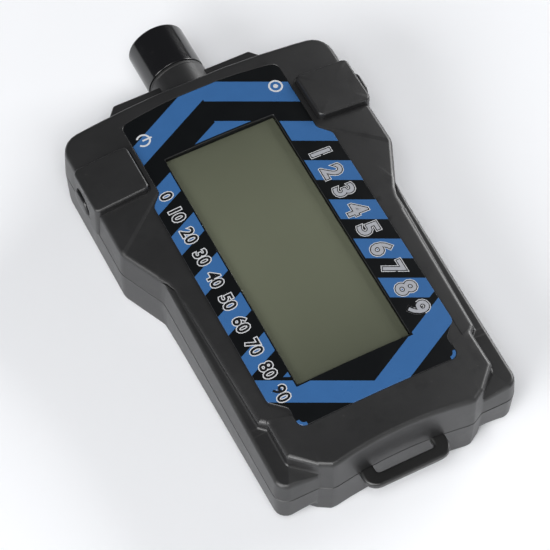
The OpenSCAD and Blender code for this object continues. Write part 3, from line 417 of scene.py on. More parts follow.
def boolean(piece, tool, operation):
    """Joins a tool to a piece or cuts it away, and removes the tool."""
    modify(piece, "BOOLEAN", operation=operation, solver="EXACT", object=tool)
    only(tool)
    bpy.ops.object.delete()
    only(piece)


def softened(piece, width, segments, angle=35):
    """Rounds a piece's edges that turn by more than an angle."""
    modify(piece, "BEVEL", width=width * MM, segments=segments, limit_method="ANGLE",
           angle_limit=math.radians(angle), use_clamp_overlap=True, miter_outer="MITER_ARC")


def merged_copy(node):
    """A copy of a CAD node's mesh with its loose triangles merged and its flat faces whole."""
    only(frame["nodes"][node])
    bpy.ops.object.duplicate(linked=False)
    piece = bpy.context.object
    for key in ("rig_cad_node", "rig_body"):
        if key in piece:
            del piece[key]
    edit_all()
    bpy.ops.mesh.remove_doubles(threshold=WELD * MM)
    bpy.ops.mesh.dissolve_limited(angle_limit=math.radians(0.5))
    bpy.ops.object.mode_set(mode="OBJECT")
    piece.parent = None
    piece.matrix_world = Matrix.Identity(4)
    return piece


def mirror_x():
    """Mirrors the active piece's mesh across the middle of the case."""
    edit_all()
    bpy.ops.transform.resize(value=(-1, 1, 1), center_override=(0, 0, 0))
    close_mesh()


def finished(name, body, finish, node=None):
    """Names the active object, smooths it, gives it its body and its finish, and hides the node it replaces.
    """
    piece = bpy.context.object
    piece.name = piece.data.name = name
    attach(piece, body)
    only(piece)
    bpy.ops.object.shade_smooth_by_angle(angle=math.radians(SMOOTH_ANGLE))
    # flat parts stay flat beside rounded edges
    modify(piece, "WEIGHTED_NORMAL", keep_sharp=True, weight=50)
    piece.data.materials.clear()
    piece.data.materials.append(FINISHES[finish].material)
    if node:
        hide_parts(node)


# ---------------------------------------------------------------- finishes

FINISHES = {}


class Value:
    """A shader number, so that Python's signs add the Math nodes."""

    def __init__(self, finish, socket):
        self.finish = finish
        self.socket = socket

    def work(self, operation, other=None, swapped=False):
        values = [self] if other is None else [other, self] if swapped else [self, other]
        node = self.finish.node("ShaderNodeMath", {"operation": operation}, dict(enumerate(values)))
        return Value(self.finish, node.outputs[0])

    __add__ = __radd__ = partialmethod(work, "ADD")
    __sub__ = partialmethod(work, "SUBTRACT")
    __rsub__ = partialmethod(work, "SUBTRACT", swapped=True)
    __mul__ = partialmethod(work, "MULTIPLY")
    __truediv__ = partialmethod(work, "DIVIDE")
    __lt__ = partialmethod(work, "LESS_THAN")
    __gt__ = partialmethod(work, "GREATER_THAN")
    __or__ = partialmethod(work, "MAXIMUM")
    fraction = partialmethod(work, "FRACT")
    size = partialmethod(work, "ABSOLUTE")


class Finish:
    """One material's nodes."""

    def __init__(self, name):
        self.material = bpy.data.materials.new(name)
        self.material.use_nodes = True
        self.tree = self.material.node_tree
        self.shader = self.tree.nodes["Principled BSDF"]
        self.coords = self.node("ShaderNodeTexCoord").outputs["Object"]

    def node(self, kind, settings=None, values=None):
        """Adds a node: its settings first, then the values or links of its sockets."""
        node = self.tree.nodes.new(kind)
        for key, value in (settings or {}).items():
            setattr(node, key, value)
        for key, value in (values or {}).items():
            self.feed(node.inputs[key], value)
        return node

    def feed(self, target, value):
        value = getattr(value, "socket", value)
        if isinstance(value, bpy.types.NodeSocket):
            self.tree.links.new(value, target)
        elif isinstance(value, (tuple, list)) and len(value) == 3 and target.type == "RGBA":
            target.default_value = (*value, 1)
        else:
            target.default_value = value

    def axes(self):
        """The place on the piece, in millimetres."""
        split = self.node("ShaderNodeSeparateXYZ", values={0: self.coords})
        return [Value(self, s) * 1000 for s in split.outputs]

    def noise(self, size_mm, detail=3, stretch=(1, 1, 1), roughness=0.5):
        """Cloudy noise with spots of about a size, from 0 to 1."""
        place = self.node("ShaderNodeMapping", values={"Vector": self.coords, "Scale": stretch})
        node = self.node("ShaderNodeTexNoise", values={"Vector": place.outputs[0], "Scale": 1000 / size_mm,
                                                       "Detail": detail, "Roughness": roughness})
        return Value(self, node.outputs["Fac"])

    def ramp(self, fac, low, high):
        """A value spread from 0 to 1 between two levels."""
        node = self.node("ShaderNodeMapRange", {"clamp": True},
                         {"Value": fac, "From Min": low, "From Max": high})
        return Value(self, node.outputs[0])

    def mix(self, fac, first, second):
        """One colour over another."""
        node = self.node("ShaderNodeMix", {"data_type": "RGBA"}, {"Factor": fac})
        self.feed(node.inputs[6], first)
        self.feed(node.inputs[7], second)
        return node.outputs[2]

    def bump(self, height, depth_mm):
        node = self.node("ShaderNodeBump",
                         values={"Height": height, "Distance": depth_mm * MM, "Strength": 1.0})
        self.tree.links.new(node.outputs[0], self.shader.inputs["Normal"])

    def set(self, **values):
        for key, value in values.items():
            self.feed(self.shader.inputs[key.replace("_", " ").title().replace("Ior", "IOR")], value)


def tinted(colour, share):
    """A colour made darker or paler by a share."""
    return tuple(min(1, c * share) for c in colour)


def paint(name, finish):
    """Gives a CAD node a finish in each of its slots."""
    mesh = frame["nodes"][name].data
    if not mesh.materials:
        mesh.materials.append(finish.material)
    for slot in range(len(mesh.materials)):
        mesh.materials[slot] = finish.material


def moulded(name, colour, rough=0.42, grain=0.28, depth=0.010):
    """Moulded plastic: an eroded grain, faint clouding, and handling marks that are smoother."""
    f = Finish(name)
    fine = f.noise(grain, 3)
    cloud = f.noise(9, 4)
    rub = f.ramp(f.noise(4.5, 5, roughness=0.62), 0.50, 0.72)
    dust = f.ramp(f.noise(0.9, 2), 0.70, 0.82)
    base = f.mix(cloud, tinted(colour, 0.75), tuple(c * 1.25 + 0.0015 for c in colour))
    base = f.mix(dust * 0.10, base, (0.16, 0.155, 0.145))
    f.set(base_color=base, ior=1.68,
          roughness=rough + (cloud - 0.5) * 0.10 - rub * 0.07 + (fine - 0.5) * 0.06)
    f.bump(fine, depth)
    return f


# ---------------------------------------------------------------- the pieces

def case_rings(sizes, front):
    """The rings of points of one shell's outer skin, from the seam to the edge of its face."""
    draft, edge = sizes.draft / MM, sizes.edge_round / MM
    outer, foot = sizes.shoulder_round / MM, sizes.foot_round / MM
    case, face = shell_outline(CASE), shell_outline(FACE)
    walls, raised = outline(case, draft), outline(face, draft)
    strips = strip_shares(walls)

    # heights are measured from the seam towards the face, so both shells share them
    def top(i, p):
        return crown(p.x) - SEAM_Z - sizes.strip_drop / MM * strips[i] if front else SEAM_Z

    def step(i, p):
        """How far the shoulder lies below the face: next to nothing at the waist, most at the loop's end."""
        share = max(0.0, (Y_LOW - p.y) / (Y_LOW - Y_CORNER))
        fall = top(i, p) - (SHOULDER_Z - SEAM_Z) + FRONT_FALL * share if front else REAR_FALL * share
        return max(0.02, fall)

    room = [min(clearance(a, raised), clearance(b, walls)) for a, b in zip(walls, raised)]
    # how much of a shoulder there is at each point, from 0 to 1
    present = [max(0.0, min(1.0, clearance(b, walls) - 0.2)) for b in raised]
    rows = [[(p, SEAM_ROOM) for p in outline(case, sizes.groove / MM)],
            [(p, SEAM_LIP) for p in outline(case)]]

    def ring(share, near, far, mixes, height):
        """One ring: the plain wall's where there is no shoulder, or else one of the stepped wall."""
        points = []
        for i, a in enumerate(outline(case, draft * share)):
            b = near[i].lerp(far[i], mixes[i])
            limit = step(i, b)
            a_height = SEAM_LIP + (top(i, a) - edge - SEAM_LIP) * share
            b_height = height(i, top(i, b) - limit, limit)
            points.append((a.lerp(b, present[i]), a_height + (b_height - a_height) * present[i]))
        rows.append(points)

    # roundings and fillets shrink where there is little room for them
    rounding = [min(1.0, 0.5 * g / outer) for g in room]
    fillet = [min(1.0, 0.3 * g / foot) for g in room]
    eased, spread = outline(case, draft + outer), outline(face, draft - foot)
    half = outline(case, draft * 0.5)
    ring(0.2, half, half, [0.0] * len(walls), lambda i, low, limit: (low - outer) * 0.5)
    for k, (inward, below) in enumerate(quarter(4)):
        ring(0.36 + 0.06 * k, walls, eased, [inward * m for m in rounding],
             lambda i, low, limit: low - outer * rounding[i] * below)
    for k, (inward, below) in enumerate(quarter(3)):
        ring(0.66 + 0.08 * k, raised, spread, [below * m for m in fillet],
             lambda i, low, limit: low + min(foot * fillet[i], 0.35 * limit) * inward)
    for inward, below in quarter(5):
        points = []
        depth = draft + edge * inward
        for i, (a, b) in enumerate(zip(outline(case, depth), outline(face, depth))):
            p = a.lerp(b, present[i])
            drop = edge + (min(edge, 0.6 * step(i, p)) - edge) * present[i]
            points.append((p, top(i, p) - drop * below))
        rows.append(points)
    sign = 1 if front else -1
    return [[Vector((p.x, p.y, SEAM_Z + sign * h)) for p, h in row] for row in rows]


def clearance(place, ring):
    """The distance from a place to an outline."""
    best = 99.0
    for a, b in zip(ring, ring[1:] + ring[:1]):
        run = b - a
        share = max(0.0, min(1.0, (place - a).dot(run) / max(run.length_squared, 1e-9)))
        best = min(best, (place - a - run * share).length)
    return best


def strip_shares(points):
    """How far each point of an outline lies on the lowered strips beside the label, from 0 to 1."""
    shares = []
    # a half has five points on the hollow edge, then six on each corner: the strip runs from the
    # fourth corner's last point to the eighth's, and fades over the ninth
    first = 1 + len(ARCH_SHARES) + 1
    per = ARC_STEPS + 1
    low, high = first + 4 * per, first + 8 * per
    count = len(points)
    for i in range(count):
        k = i if i <= count // 2 else count - i
        if k < low - 1 or k > high + per:
            shares.append(0.0)
        elif k <= high - 1:
            shares.append(1.0)
        else:
            shares.append(max(0.0, 1 - (k - high + 1) / per))
    return shares


class TACHO_OT_front_shell(bpy.types.Operator):
    """Makes the front shell: its stepped walls, crowned face, label recess, window, pads and half boss"""
    bl_idname = "tacho.front_shell"
    bl_label = "Front shell"

    def execute(self, context):
        sizes = context.scene.tacho_case
        rings = case_rings(sizes, True)
        drop = sizes.strip_drop / MM
        face = [p.xy for p in rings[-1]]
        strips = strip_shares(face)
        nest = both_halves(NEST, low_w=LABEL_FOOT_W, rise=LABEL_ARCH)
        nest_edge = outline(nest, -0.07)
        for share in (0.3, 0.65, 1.0):
            flat = between(face, nest_edge, share)
            rings.append([Vector((p.x, p.y, crown(p.x) - drop * strips[i])) for i, p in enumerate(flat)])
        flat = outline(nest, 0)
        rings.append([Vector((p.x, p.y, crown(p.x) - max(0.07, drop * strips[i] + 0.02)))
                      for i, p in enumerate(flat)])
        window = window_outline(-GAP)
        rings += [lifted(between(flat, window, share), crowned(RECESS)) for share in (0.0, 0.35, 0.7, 1.0)]
        rings.append(lifted(window, crowned(ROOF_T)))
        inner_face, inner_case = outline(shell_outline(FACE), WALL + 0.3), outline(shell_outline(CASE), WALL)
        rings += [lifted(between(window, inner_face, share), crowned(ROOF_T)) for share in (0.5, 1.0)]
        rings += [lifted(inner_face, 13.2), lifted(inner_case, 12.6), lifted(inner_case, SEAM_Z + SEAM_ROOM)]
        shell = loft(rings, joined=True)
        for side in (1, -1):
            boolean(shell, self.pad_groove(side), "DIFFERENCE")
            boolean(shell, self.pad(sizes, side), "UNION")
        boolean(shell, boss(sizes, True), "UNION")
        boolean(shell, neck(True), "UNION")
        cut_openings(shell)
        finished("front_case", "case", "case", "front_shell")
        return {"FINISHED"}

    def pad_groove(self, side):
        """The fine groove that runs round the foot of a pad, as a tool."""
        wide, tight, narrow = (outline(PAD, depth) for depth in (-0.42, -0.32, 0.1))
        low, high = crowned(0.24), crowned(-0.6)
        piece = loft([lifted(narrow, low), lifted(tight, low), lifted(wide, crowned(0.06)),
                      lifted(wide, high), lifted(narrow, high)], joined=True)
        if side < 0:
            mirror_x()
        return piece

    def pad(self, sizes, side):
        """A raised pad with the wall under it, ready to be joined to the shell."""
        r = sizes.pad_round / MM
        rings = [lifted(outline(PAD, sizes.groove / MM), SEAM_Z + SEAM_ROOM),
                 lifted(outline(PAD), SEAM_Z + SEAM_LIP), lifted(outline(PAD, 0.05), 14.0)]
        for inward, below in quarter(5):
            flat = outline(PAD, 0.08 + r * inward)
            rings.append(lifted(flat, lambda x, y: crown(x) + PAD_H - r * below))
        flat = outline(PAD, 0.08 + r)
        middle = [Vector(((PAD_X + PAD_SIDE) / 2, PAD_Y)) for p in flat]
        rings += [lifted(between(flat, middle, share), crowned(-PAD_H)) for share in (0.4, 0.8)]
        piece = loft(rings)
        tool = box((PAD_X - 2, PAD_Y - 8, 5), (PAD_SIDE - 0.4 - WALL, PAD_Y + 8, 16.3))
        boolean(piece, tool, "DIFFERENCE")
        if side < 0:
            mirror_x()
        return piece


def window_outline(depth):
    """The display window's outline, matched to the others point for point."""
    w, l = WINDOW_HALF_W, WINDOW_HALF_L
    half = ((w, -l, 0.4), (w, -l + 1.4, 0.3), (w, -l + 2.2, 0.3), (w, -l + 3, 0.3), (w, -l + 4.2, 0.3),
            (w, -3.6, 0.3), (w, 1.5, 0.3), (w, 8, 0.3), (w, 16, 0.3), (w, l, 0.4))
    flat = outline(both_halves(half, low_w=10.5), depth)
    return [Vector((p.x + WINDOW_X, p.y + WINDOW_Y)) for p in flat]


def boss(sizes, top):
    """Half of the block that carries the lens tube."""
    r = sizes.boss_round / MM
    half = [(20, 37.0, 0.2), (20, Y_FRONT, 0.6), (15.3, Y_BOSS, 1.0)]
    corners = half + [(-x, y, corner) for x, y, corner in reversed(half)]
    sign = 1 if top else -1
    rings = [lifted(outline(corners, sizes.groove / MM), SEAM_Z + sign * SEAM_ROOM),
             lifted(outline(corners), SEAM_Z + sign * SEAM_LIP)]
    rings += [lifted(outline(corners, 0.1 + r * inward), SEAM_Z + sign * (BOSS_H - r * below))
              for inward, below in quarter(4)]
    return loft(rings)


def neck(top):
    """Half of the round neck behind the hood, with its end edge eased."""
    profile = rounded_profile([(3.0, 37.0, 0), (TUBE_R, 37.0, 0), (TUBE_R, Y_NECK, 0.25), (3.0, Y_NECK, 0)])
    piece = turned(profile, 96)
    tool = box((-8, 30, SEAM_Z - 20 if top else SEAM_Z - SEAM_ROOM),
               (8, 50, SEAM_Z + SEAM_ROOM if top else SEAM_Z + 20))
    boolean(piece, tool, "DIFFERENCE")
    return piece


def cut_openings(shell):
    """Cuts the lens bore, and the hollow and the hole of each side key."""
    boolean(shell, rod(BORE_R, (0, 33, SEAM_Z), (0, 46, SEAM_Z), 64), "DIFFERENCE")
    for side in (1, -1):
        hollow = rod(KEY_HOLLOW_R, (side * (PAD_SIDE - 0.4), KEY_Y, KEY_Z), (side * 32, KEY_Y, KEY_Z), 64)
        boolean(shell, hollow, "DIFFERENCE")
        boolean(shell, key_block(0.2, 27.5, 32.5, side, 0), "DIFFERENCE")


def key_block(grow, x_from, x_to, side, ease, cap=0.0):
    """A round-ended bar across the side wall: a key's cap, or with some room the hole for it."""
    half_l, half_h = KEY_HALF_L + grow, KEY_HALF_H + grow
    corners = boxed(-half_l, half_l, -half_h, half_h, KEY_R + grow)
    rows = [(0.0, x_from)]
    rows += [(ease * inward, x_to - ease * below) for inward, below in (quarter(4) if ease else [(0, 0)])]
    if cap:
        rows += [(ease + 0.6, x_to + cap * 0.5), (ease + 1.1, x_to + cap)]
    return loft([[Vector((side * x, KEY_Y + p.x, KEY_Z + p.y)) for p in outline(corners, depth)]
                 for depth, x in rows])


class TACHO_OT_rear_shell(bpy.types.Operator):
    """Makes the rear shell: its stepped walls, rear face, door rebate, battery bay and screw wells"""
    bl_idname = "tacho.rear_shell"
    bl_label = "Rear shell"

    def execute(self, context):
        sizes = context.scene.tacho_case
        rings = case_rings(sizes, False)
        face = [p.xy for p in rings[-1]]
        door, bay, block = (self.matched(*place) for place in (DOOR, BAY, BAY_BLOCK))
        rings += [lifted(between(face, outline(door), share), 0) for share in (0.35, 0.7)]
        rings += [lifted(outline(door, -EDGE_BREAK), 0), lifted(outline(door), EDGE_BREAK),
                  lifted(outline(door), FLOOR_T), lifted(outline(bay), FLOOR_T),
                  lifted(outline(bay, 0.05), BAY_TOP)]
        outer = list(reversed(rings))
        inner = [lifted(outline(shell_outline(CASE), WALL), SEAM_Z - SEAM_ROOM),
                 lifted(outline(shell_outline(FACE), WALL + 0.3), 4.2),
                 lifted(outline(block), 4.0), lifted(outline(block), BAY_BLOCK_TOP)]
        shell = loft(outer + inner)
        places = [(side * x, y) for x, y in SCREW_PLACES for side in (1, -1)]
        for place in places:
            boolean(shell, rod(SCREW_POST_R, (*place, 0.6), (*place, SCREW_POST_TOP)), "UNION")
        boolean(shell, boss(sizes, False), "UNION")
        boolean(shell, neck(False), "UNION")
        cut_openings(shell)
        for place in places:
            boolean(shell, rod(SCREW_WELL_R, (*place, -1), (*place, SCREW_WELL_TOP)), "DIFFERENCE")
        for x in (HOOK_X, -HOOK_X):
            pocket = box((x - HOOK_HALF_W, 2.6, FLOOR_T), (x + HOOK_HALF_W, 4.2, HOOK_TOP))
            boolean(shell, pocket, "DIFFERENCE")
        boolean(shell, rod(DIP_R, (0, DOOR[1], -1), (0, DOOR[1], DIP_TOP)), "DIFFERENCE")
        finished("rear_case", "case", "case", "rear_shell")
        return {"FINISHED"}

    def matched(self, half_w, low, high):
        """A rectangle with as many points as the case's outline."""
        run = high - low
        shares = (0.04, 0.08, 0.2, 0.24, 0.8, 0.84, 0.88, 0.94)
        side = [(half_w, low + run * share, 0.2) for share in shares]
        return both_halves([(half_w, low, 0.3)] + side + [(half_w, high, 0.3)], low_w=half_w * 0.85)


class TACHO_OT_battery_door(bpy.types.Operator):
    """Makes the battery door: the CAD door with its edges eased"""
    bl_idname = "tacho.battery_door"
    bl_label = "Battery door"

    def execute(self, context):
        softened(merged_copy("battery_door"), 0.14, 2)
        finished("bay_door", "door", "case", "battery_door")
        return {"FINISHED"}


class TACHO_OT_face_label(bpy.types.Operator):
    """Makes the printed film that follows the crowned face round the window"""
    bl_idname = "tacho.face_label"
    bl_label = "Face label"

    def execute(self, context):
        label = both_halves(LABEL, low_w=LABEL_FOOT_W, rise=LABEL_ARCH)
        edge, inner = outline(label, 0.06), outline(label)
        window, hole = window_outline(-0.05), window_outline(0)
        rings = [lifted(inner, crowned(LABEL_T)), lifted(inner, crowned(0.06)), lifted(edge, crowned())]
        rings += [lifted(between(edge, window, share), crowned()) for share in (0.25, 0.5, 0.75, 1.0)]
        rings += [lifted(hole, crowned(0.05)), lifted(hole, crowned(LABEL_T)),
                  lifted(between(hole, inner, 0.5), crowned(LABEL_T))]
        loft(rings, joined=True)
        finished("printed_film", "case", "label", "face_label")
        return {"FINISHED"}


# Lines of numbers: piece, finish, growth of the letter's outline and height in thicknesses of ink
TENS = (("tens_rim", "ink_white", 0.27, 1.0), ("tens", "ink_black", 0.07, 1.6))
DIGITS = (("digits_rim", "ink_white", 0.44, 1.0), ("digits_ring", "ink_black", 0.30, 1.5),
          ("digits", "ink_pale", 0.10, 2.0))
# The round marks: their places and radii, and the angles between which the power symbol's ring runs
POWER_X, SET_X, MARK_Y = -14.8, 14.5, 29.0
MARK_R, MARK_HOLE_R, DOT_R = 1.5, 1.12, 0.5
OPEN_RING = (215, 505)
# Height of a numeral as a share of the letter size
CAP_HEIGHT = 0.7


class TACHO_OT_marks(bpy.types.Operator):
    """Makes the printed marks: plain numbers along both strips, a power symbol and a ring with a dot"""
    bl_idname = "tacho.marks"
    bl_label = "Printed marks"

    def execute(self, context):
        face = context.scene.tacho_face
        ink = face.ink / MM
        tens = "0  10  20  30  40  50  60  70  80  90"
        for layer in TENS:
            self.numbers(layer, tens, face.numeral_size / MM, (-16.6, -9.9), 1.0, ink)
        for layer in DIGITS:
            self.numbers(layer, "1 2 3 4 5 6 7 8 9", face.large_size / MM, (14.8, -9.4), 1.35, ink)
        open_ring = self.arc(POWER_X, MARK_R, *OPEN_RING) + self.arc(POWER_X, MARK_HOLE_R, *OPEN_RING)[::-1]
        self.flat_mark("power_mark_ring", ink, open_ring)
        bar = [Vector(p) for p in ((-15.0, 28.81), (-13.0, 28.81), (-13.0, 29.19), (-15.0, 29.19))]
        self.flat_mark("power_mark_bar", ink, bar)
        rim, hole, dot = (self.arc(SET_X, r, 0, 360)[:-1] for r in (MARK_R, MARK_HOLE_R, DOT_R))
        self.flat_mark("set_mark_ring", ink, rim, hole)
        self.flat_mark("set_mark_dot", ink, dot)
        return {"FINISHED"}

    def numbers(self, layer, body, size, place, gap, ink):
        """A line of numbers that reads towards the loop, laid on the crowned face."""
        name, finish, grow, rise = layer
        deselect()
        bpy.ops.object.text_add()
        data = bpy.context.object.data
        data.body, data.size, data.resolution_u = body, size / CAP_HEIGHT, 3
        data.align_x, data.align_y = "CENTER", "CENTER"
        data.space_word, data.offset, data.extrude = gap, grow, 0.5
        bpy.ops.object.convert(target="MESH")
        piece = bpy.context.object
        edit_all()
        bpy.ops.mesh.remove_doubles(threshold=0.001)
        bpy.ops.object.mode_set(mode="OBJECT")
        for vert in piece.data.vertices:
            x, y = place[0] + vert.co.y, place[1] - vert.co.x
            vert.co = Vector((x, y, crown(x) + (rise * ink if vert.co.z > 0 else -0.01))) * MM
        finished(name, "case", finish)

    def arc(self, x, radius, start, stop, steps=36):
        """Places along an arc about a mark's middle, between two angles."""
        turns = [math.radians(start + (stop - start) * k / steps) for k in range(steps + 1)]
        return [Vector((x + radius * math.cos(t), MARK_Y + radius * math.sin(t))) for t in turns]

    def flat_mark(self, name, ink, rim, hole=None):
        """A mark of ink laid on the crowned face."""
        top, base = crowned(-ink), crowned(0.01)
        rings = [lifted(rim, base), lifted(rim, top)]
        if hole:
            rings += [lifted(hole, top), lifted(hole, base)]
        loft(rings, joined=bool(hole))
        finished(name, "case", "ink_white")


class TACHO_OT_display(bpy.types.Operator):
    """Makes the display, whose face stands up into the window, and the clear pane over it"""
    bl_idname = "tacho.display"
    bl_label = "Display and pane"

    def execute(self, context):
        low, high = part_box("display_glass")
        centre = (low + high) / 2 / MM
        half = (high - low) / 2 / MM
        slab, sheet = ([(x + centre.x, y + centre.y, r) for x, y, r in
                        boxed(inset - half.x, half.x - inset, -half.y, half.y, 0.3)] for inset in (0, 2))
        face = self.in_window(11.85, 28.28)
        base, mid, top = low.z / MM, centre.z, high.z / MM
        rows = ((sheet, base), (sheet, mid), (slab, mid), (slab, top), (face, top), (face, 17.10))
        rings = [lifted(outline(corners), z) for corners, z in rows]
        rings.append(lifted(outline(face, 0.06), 17.15))
        loft(rings)
        finished("display_module", "case", "display", "display_glass")
        pane = self.in_window(11.97, 28.4)
        rings = [lifted(outline(pane), 17.2), lifted(outline(pane), crowned(RECESS + 0.06)),
                 lifted(outline(pane, 0.06), crowned(RECESS))]
        piece = loft(rings, capped=(True, False))
        self.crowned_cap(piece, 12)
        finished("window_pane", "case", "pane", "display_pane")
        return {"FINISHED"}

    def in_window(self, half_w, half_l):
        """A rectangle about the window's middle."""
        return boxed(WINDOW_X - half_w, WINDOW_X + half_w, WINDOW_Y - half_l, WINDOW_Y + half_l, 0.3)

    def crowned_cap(self, piece, columns):
        """Closes the pane's top in strips that follow the crowned face."""
        bpy.ops.object.mode_set(mode="EDIT")
        bpy.ops.mesh.select_all(action="DESELECT")
        mesh = bmesh.from_edit_mesh(piece.data)
        for edge in mesh.edges:
            if edge.is_boundary:
                edge.select = True
        bpy.ops.mesh.edge_face_add()
        for k in range(1, columns):
            x = WINDOW_X - 11.9 + 23.8 * k / columns
            mesh = bmesh.from_edit_mesh(piece.data)
            bpy.ops.mesh.select_all(action="DESELECT")
            for face in mesh.faces:
                if min(v.co.z for v in face.verts) > 17.6 * MM:
                    face.select = True
            bpy.ops.mesh.bisect(plane_co=(x * MM, 0, 0), plane_no=(1, 0, 0))
            mesh = bmesh.from_edit_mesh(piece.data)
            for vert in mesh.verts:
                if abs(vert.co.x - x * MM) < 1e-7 and vert.co.z > 17.5 * MM:
                    vert.co.z = crown(x, RECESS) * MM
        bpy.ops.object.mode_set(mode="OBJECT")


class TACHO_OT_lens_tube(bpy.types.Operator):
    """Makes the turned pieces of the lens tube: hood, seal, lens ring and lens"""
    bl_idname = "tacho.lens_tube"
    bl_label = "Lens tube"

    def execute(self, context):
        sides = context.scene.tacho_studio.sides
        hood = [(LIGHT_R, 35.5, 0), (TUBE_R, 35.5, 0.15), (TUBE_R, Y_FLANGE, 0.15), (SPIGOT_R, Y_FLANGE, 0),
                (SPIGOT_R, Y_HOOD, 0), (TUBE_R, Y_HOOD, 0.18), (TUBE_R, Y_MOUTH, 0.55), (5.35, Y_MOUTH, 0.2),
                (MOUTH_R, Y_MOUTH - 0.7, 0.1), (MOUTH_R, Y_SEAT, 0), (LIGHT_R, Y_SEAT, 0)]
        seal = [(4.56, Y_NECK + 0.02, 0), (6.05, Y_NECK + 0.02, 0.2), (6.05, Y_HOOD - 0.02, 0.2),
                (4.56, Y_HOOD - 0.02, 0)]
        ring = [(4.2, 52.42, 0), (4.93, 51.9, 0), (4.93, 53.4, 0.1), (4.2, 53.4, 0.25)]
        curve, radius = 9.0, 4.94
        lens = [(0.0, Y_SEAT, 0), (radius, Y_SEAT, 0)]
        for k in range(11):
            r = radius * (1 - k / 10)
            lens.append((r, Y_RING - curve + math.sqrt(curve ** 2 - r ** 2), 0))
        pieces = (("hood_tube", hood, "gloss", "hood_gloss", "lens_hood"),
                  ("tube_seal", seal, "rubber", "seal_rubber", "hood_seal"),
                  ("mouth_ring", ring, "ring", "ring_black", "lens_ring"),
                  ("front_lens", lens, "lens", "lens_glass", "objective_lens"))
        for name, profile, finish, slot, node in pieces:
            turned(rounded_profile(profile), sides)
            finished(name, "case", finish, node)
        return {"FINISHED"}


class TACHO_OT_keys(bpy.types.Operator):
    """Makes the two side keys with rounded, slightly crowned caps"""
    bl_idname = "tacho.keys"
    bl_label = "Side keys"

    def execute(self, context):
        for name, side, out, body, node in (("power_cap", -1, POWER_OUT, "power_button", "power_key"),
                                            ("set_cap", 1, SET_OUT, "set_button", "set_key")):
            piece = key_block(0, KEY_BASE, out - KEY_CROWN, side, 0.4, KEY_CROWN)
            boolean(piece, key_block(0.9, KEY_BASE - 0.04, KEY_FLANGE, side, 0.1), "UNION")
            low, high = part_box(node)
            reach = sorted((side * min(abs(low.x), abs(high.x)) / MM, side * (KEY_BASE + 0.2)))
            stem = box((reach[0], KEY_Y - STEM_HALF, KEY_Z - STEM_HALF),
                       (reach[1], KEY_Y + STEM_HALF, KEY_Z + STEM_HALF))
            boolean(piece, stem, "UNION")
            finished(name, body, "key", node)
        return {"FINISHED"}


class TACHO_OT_lanyard_loop(bpy.types.Operator):
    """Makes the lanyard loop with its rounded edges"""
    bl_idname = "tacho.lanyard_loop"
    bl_label = "Lanyard loop"

    def execute(self, context):
        r, low, high = 0.5, 7.75, 9.33
        outer = boxed(-9, 9, -55.4, -49.0, 2.6)
        slot = boxed(-6.1, 6.1, -52.8, -50.4, 0.7)
        rings = []
        for corner, base, sign in ((outer, low, 1), (outer, high, -1), (slot, high, -1), (slot, low, 1)):
            into = 1 if corner is outer else -1
            rows = [lifted(outline(corner, into * (r * below)), base + sign * (r * inward))
                    for inward, below in quarter(4)]
            rings += rows if into == sign else rows[::-1]
        loft(rings, joined=True)
        finished("cord_loop", "case", "loop", "lanyard_loop")
        return {"FINISHED"}


# ---------------------------------------------------------------- finishes of this object

# Two measures over the face that the stripes follow, by their terms: none, x, y, xx, yy and xy
ACROSS = (277.09, 4.609, -2.360, -0.00248, 0.00242, -0.00346)
DOWN = (220.47, -1.976, -3.871, 0.00714, 0.00398, 0.00407)
# The blue bands round the corners of the film's foot: the curves' middle and their inner radius
CORNER_X, CORNER_Y, CORNER_R = 15.1, -40.4, 0.98
# Black kept round the window
WINDOW_RIM = 0.32


def grid_line(x, y, k):
    """One of the measures that the stripes follow."""
    return (x * k[1] + k[0]) + y * k[2] + (x * x) * k[3] + (y * y) * k[4] + (x * y) * k[5]


def film_finish(colours):
    """Printed film: blue stripes on a black ground that lean one way on the left and another on the right."""
    f = Finish("printed_film")
    x, y, z = f.axes()
    across, down = grid_line(x, y, ACROSS), grid_line(x, y, DOWN)
    left_band = ((across + (down - 146) * 0.9 - 134) / 59.5).fraction() < 0.46
    right_band = ((down - 81.8) / 39.2).fraction() < 0.5
    on_left = across < 204 + (down - 101) * 0.51
    bands = left_band * on_left + right_band * (1 - on_left)
    # the foot: a level band on the left that turns up on the right
    diagonal = across + (down - 380) * 0.77
    foot_band = ((diagonal > 375) * (diagonal < 408)) | ((down > 380.5) * (down < 402.5) * (diagonal < 376))
    at_foot = (diagonal > 366) | (down > 377)
    under_window = (y < WINDOW_Y - WINDOW_HALF_L) * (x > WINDOW_X - WINDOW_HALF_W)
    low_right = (down > 312) * (1 - on_left)
    head = bands * (1 - at_foot) * (1 - under_window) * (1 - low_right)
    near_window = ((x - WINDOW_X).size() < WINDOW_HALF_W + WINDOW_RIM) \
        * ((y - WINDOW_Y).size() < WINDOW_HALF_L + WINDOW_RIM)
    side = x.size()
    spread = ((side - CORNER_X).work("POWER", 2) + (y - CORNER_Y).work("POWER", 2)).work("SQRT")
    corner = (spread > CORNER_R) * (side > CORNER_X) * (y < CORNER_Y)
    mask = ((head | foot_band) * (1 - near_window)) | corner
    ground = f.mix(f.noise(6, 3), tinted(colours.face, 0.8), tinted(colours.face, 1.3))
    ink = f.mix(f.noise(3, 3), tinted(colours.blue, 0.93), tinted(colours.blue, 1.07))
    screen = f.noise(0.15, 2)
    # painted highlight: the film's cut edge is painted paler where it would catch light; it starts deeper
    # than the flat strips between the points sag
    edge_highlight_depth = (x * x) * (-0.5 / CROWN_R) + CROWN_Z - z
    base = f.mix(f.ramp(edge_highlight_depth, 0.045, 0.062) * 0.5, f.mix(mask, ground, ink), (0.10, 0.10, 0.11))
    f.set(base_color=base, roughness=0.30 + (f.noise(5, 4) - 0.5) * 0.12 + (screen - 0.5) * 0.05)
    f.bump(screen, 0.004)
    return f


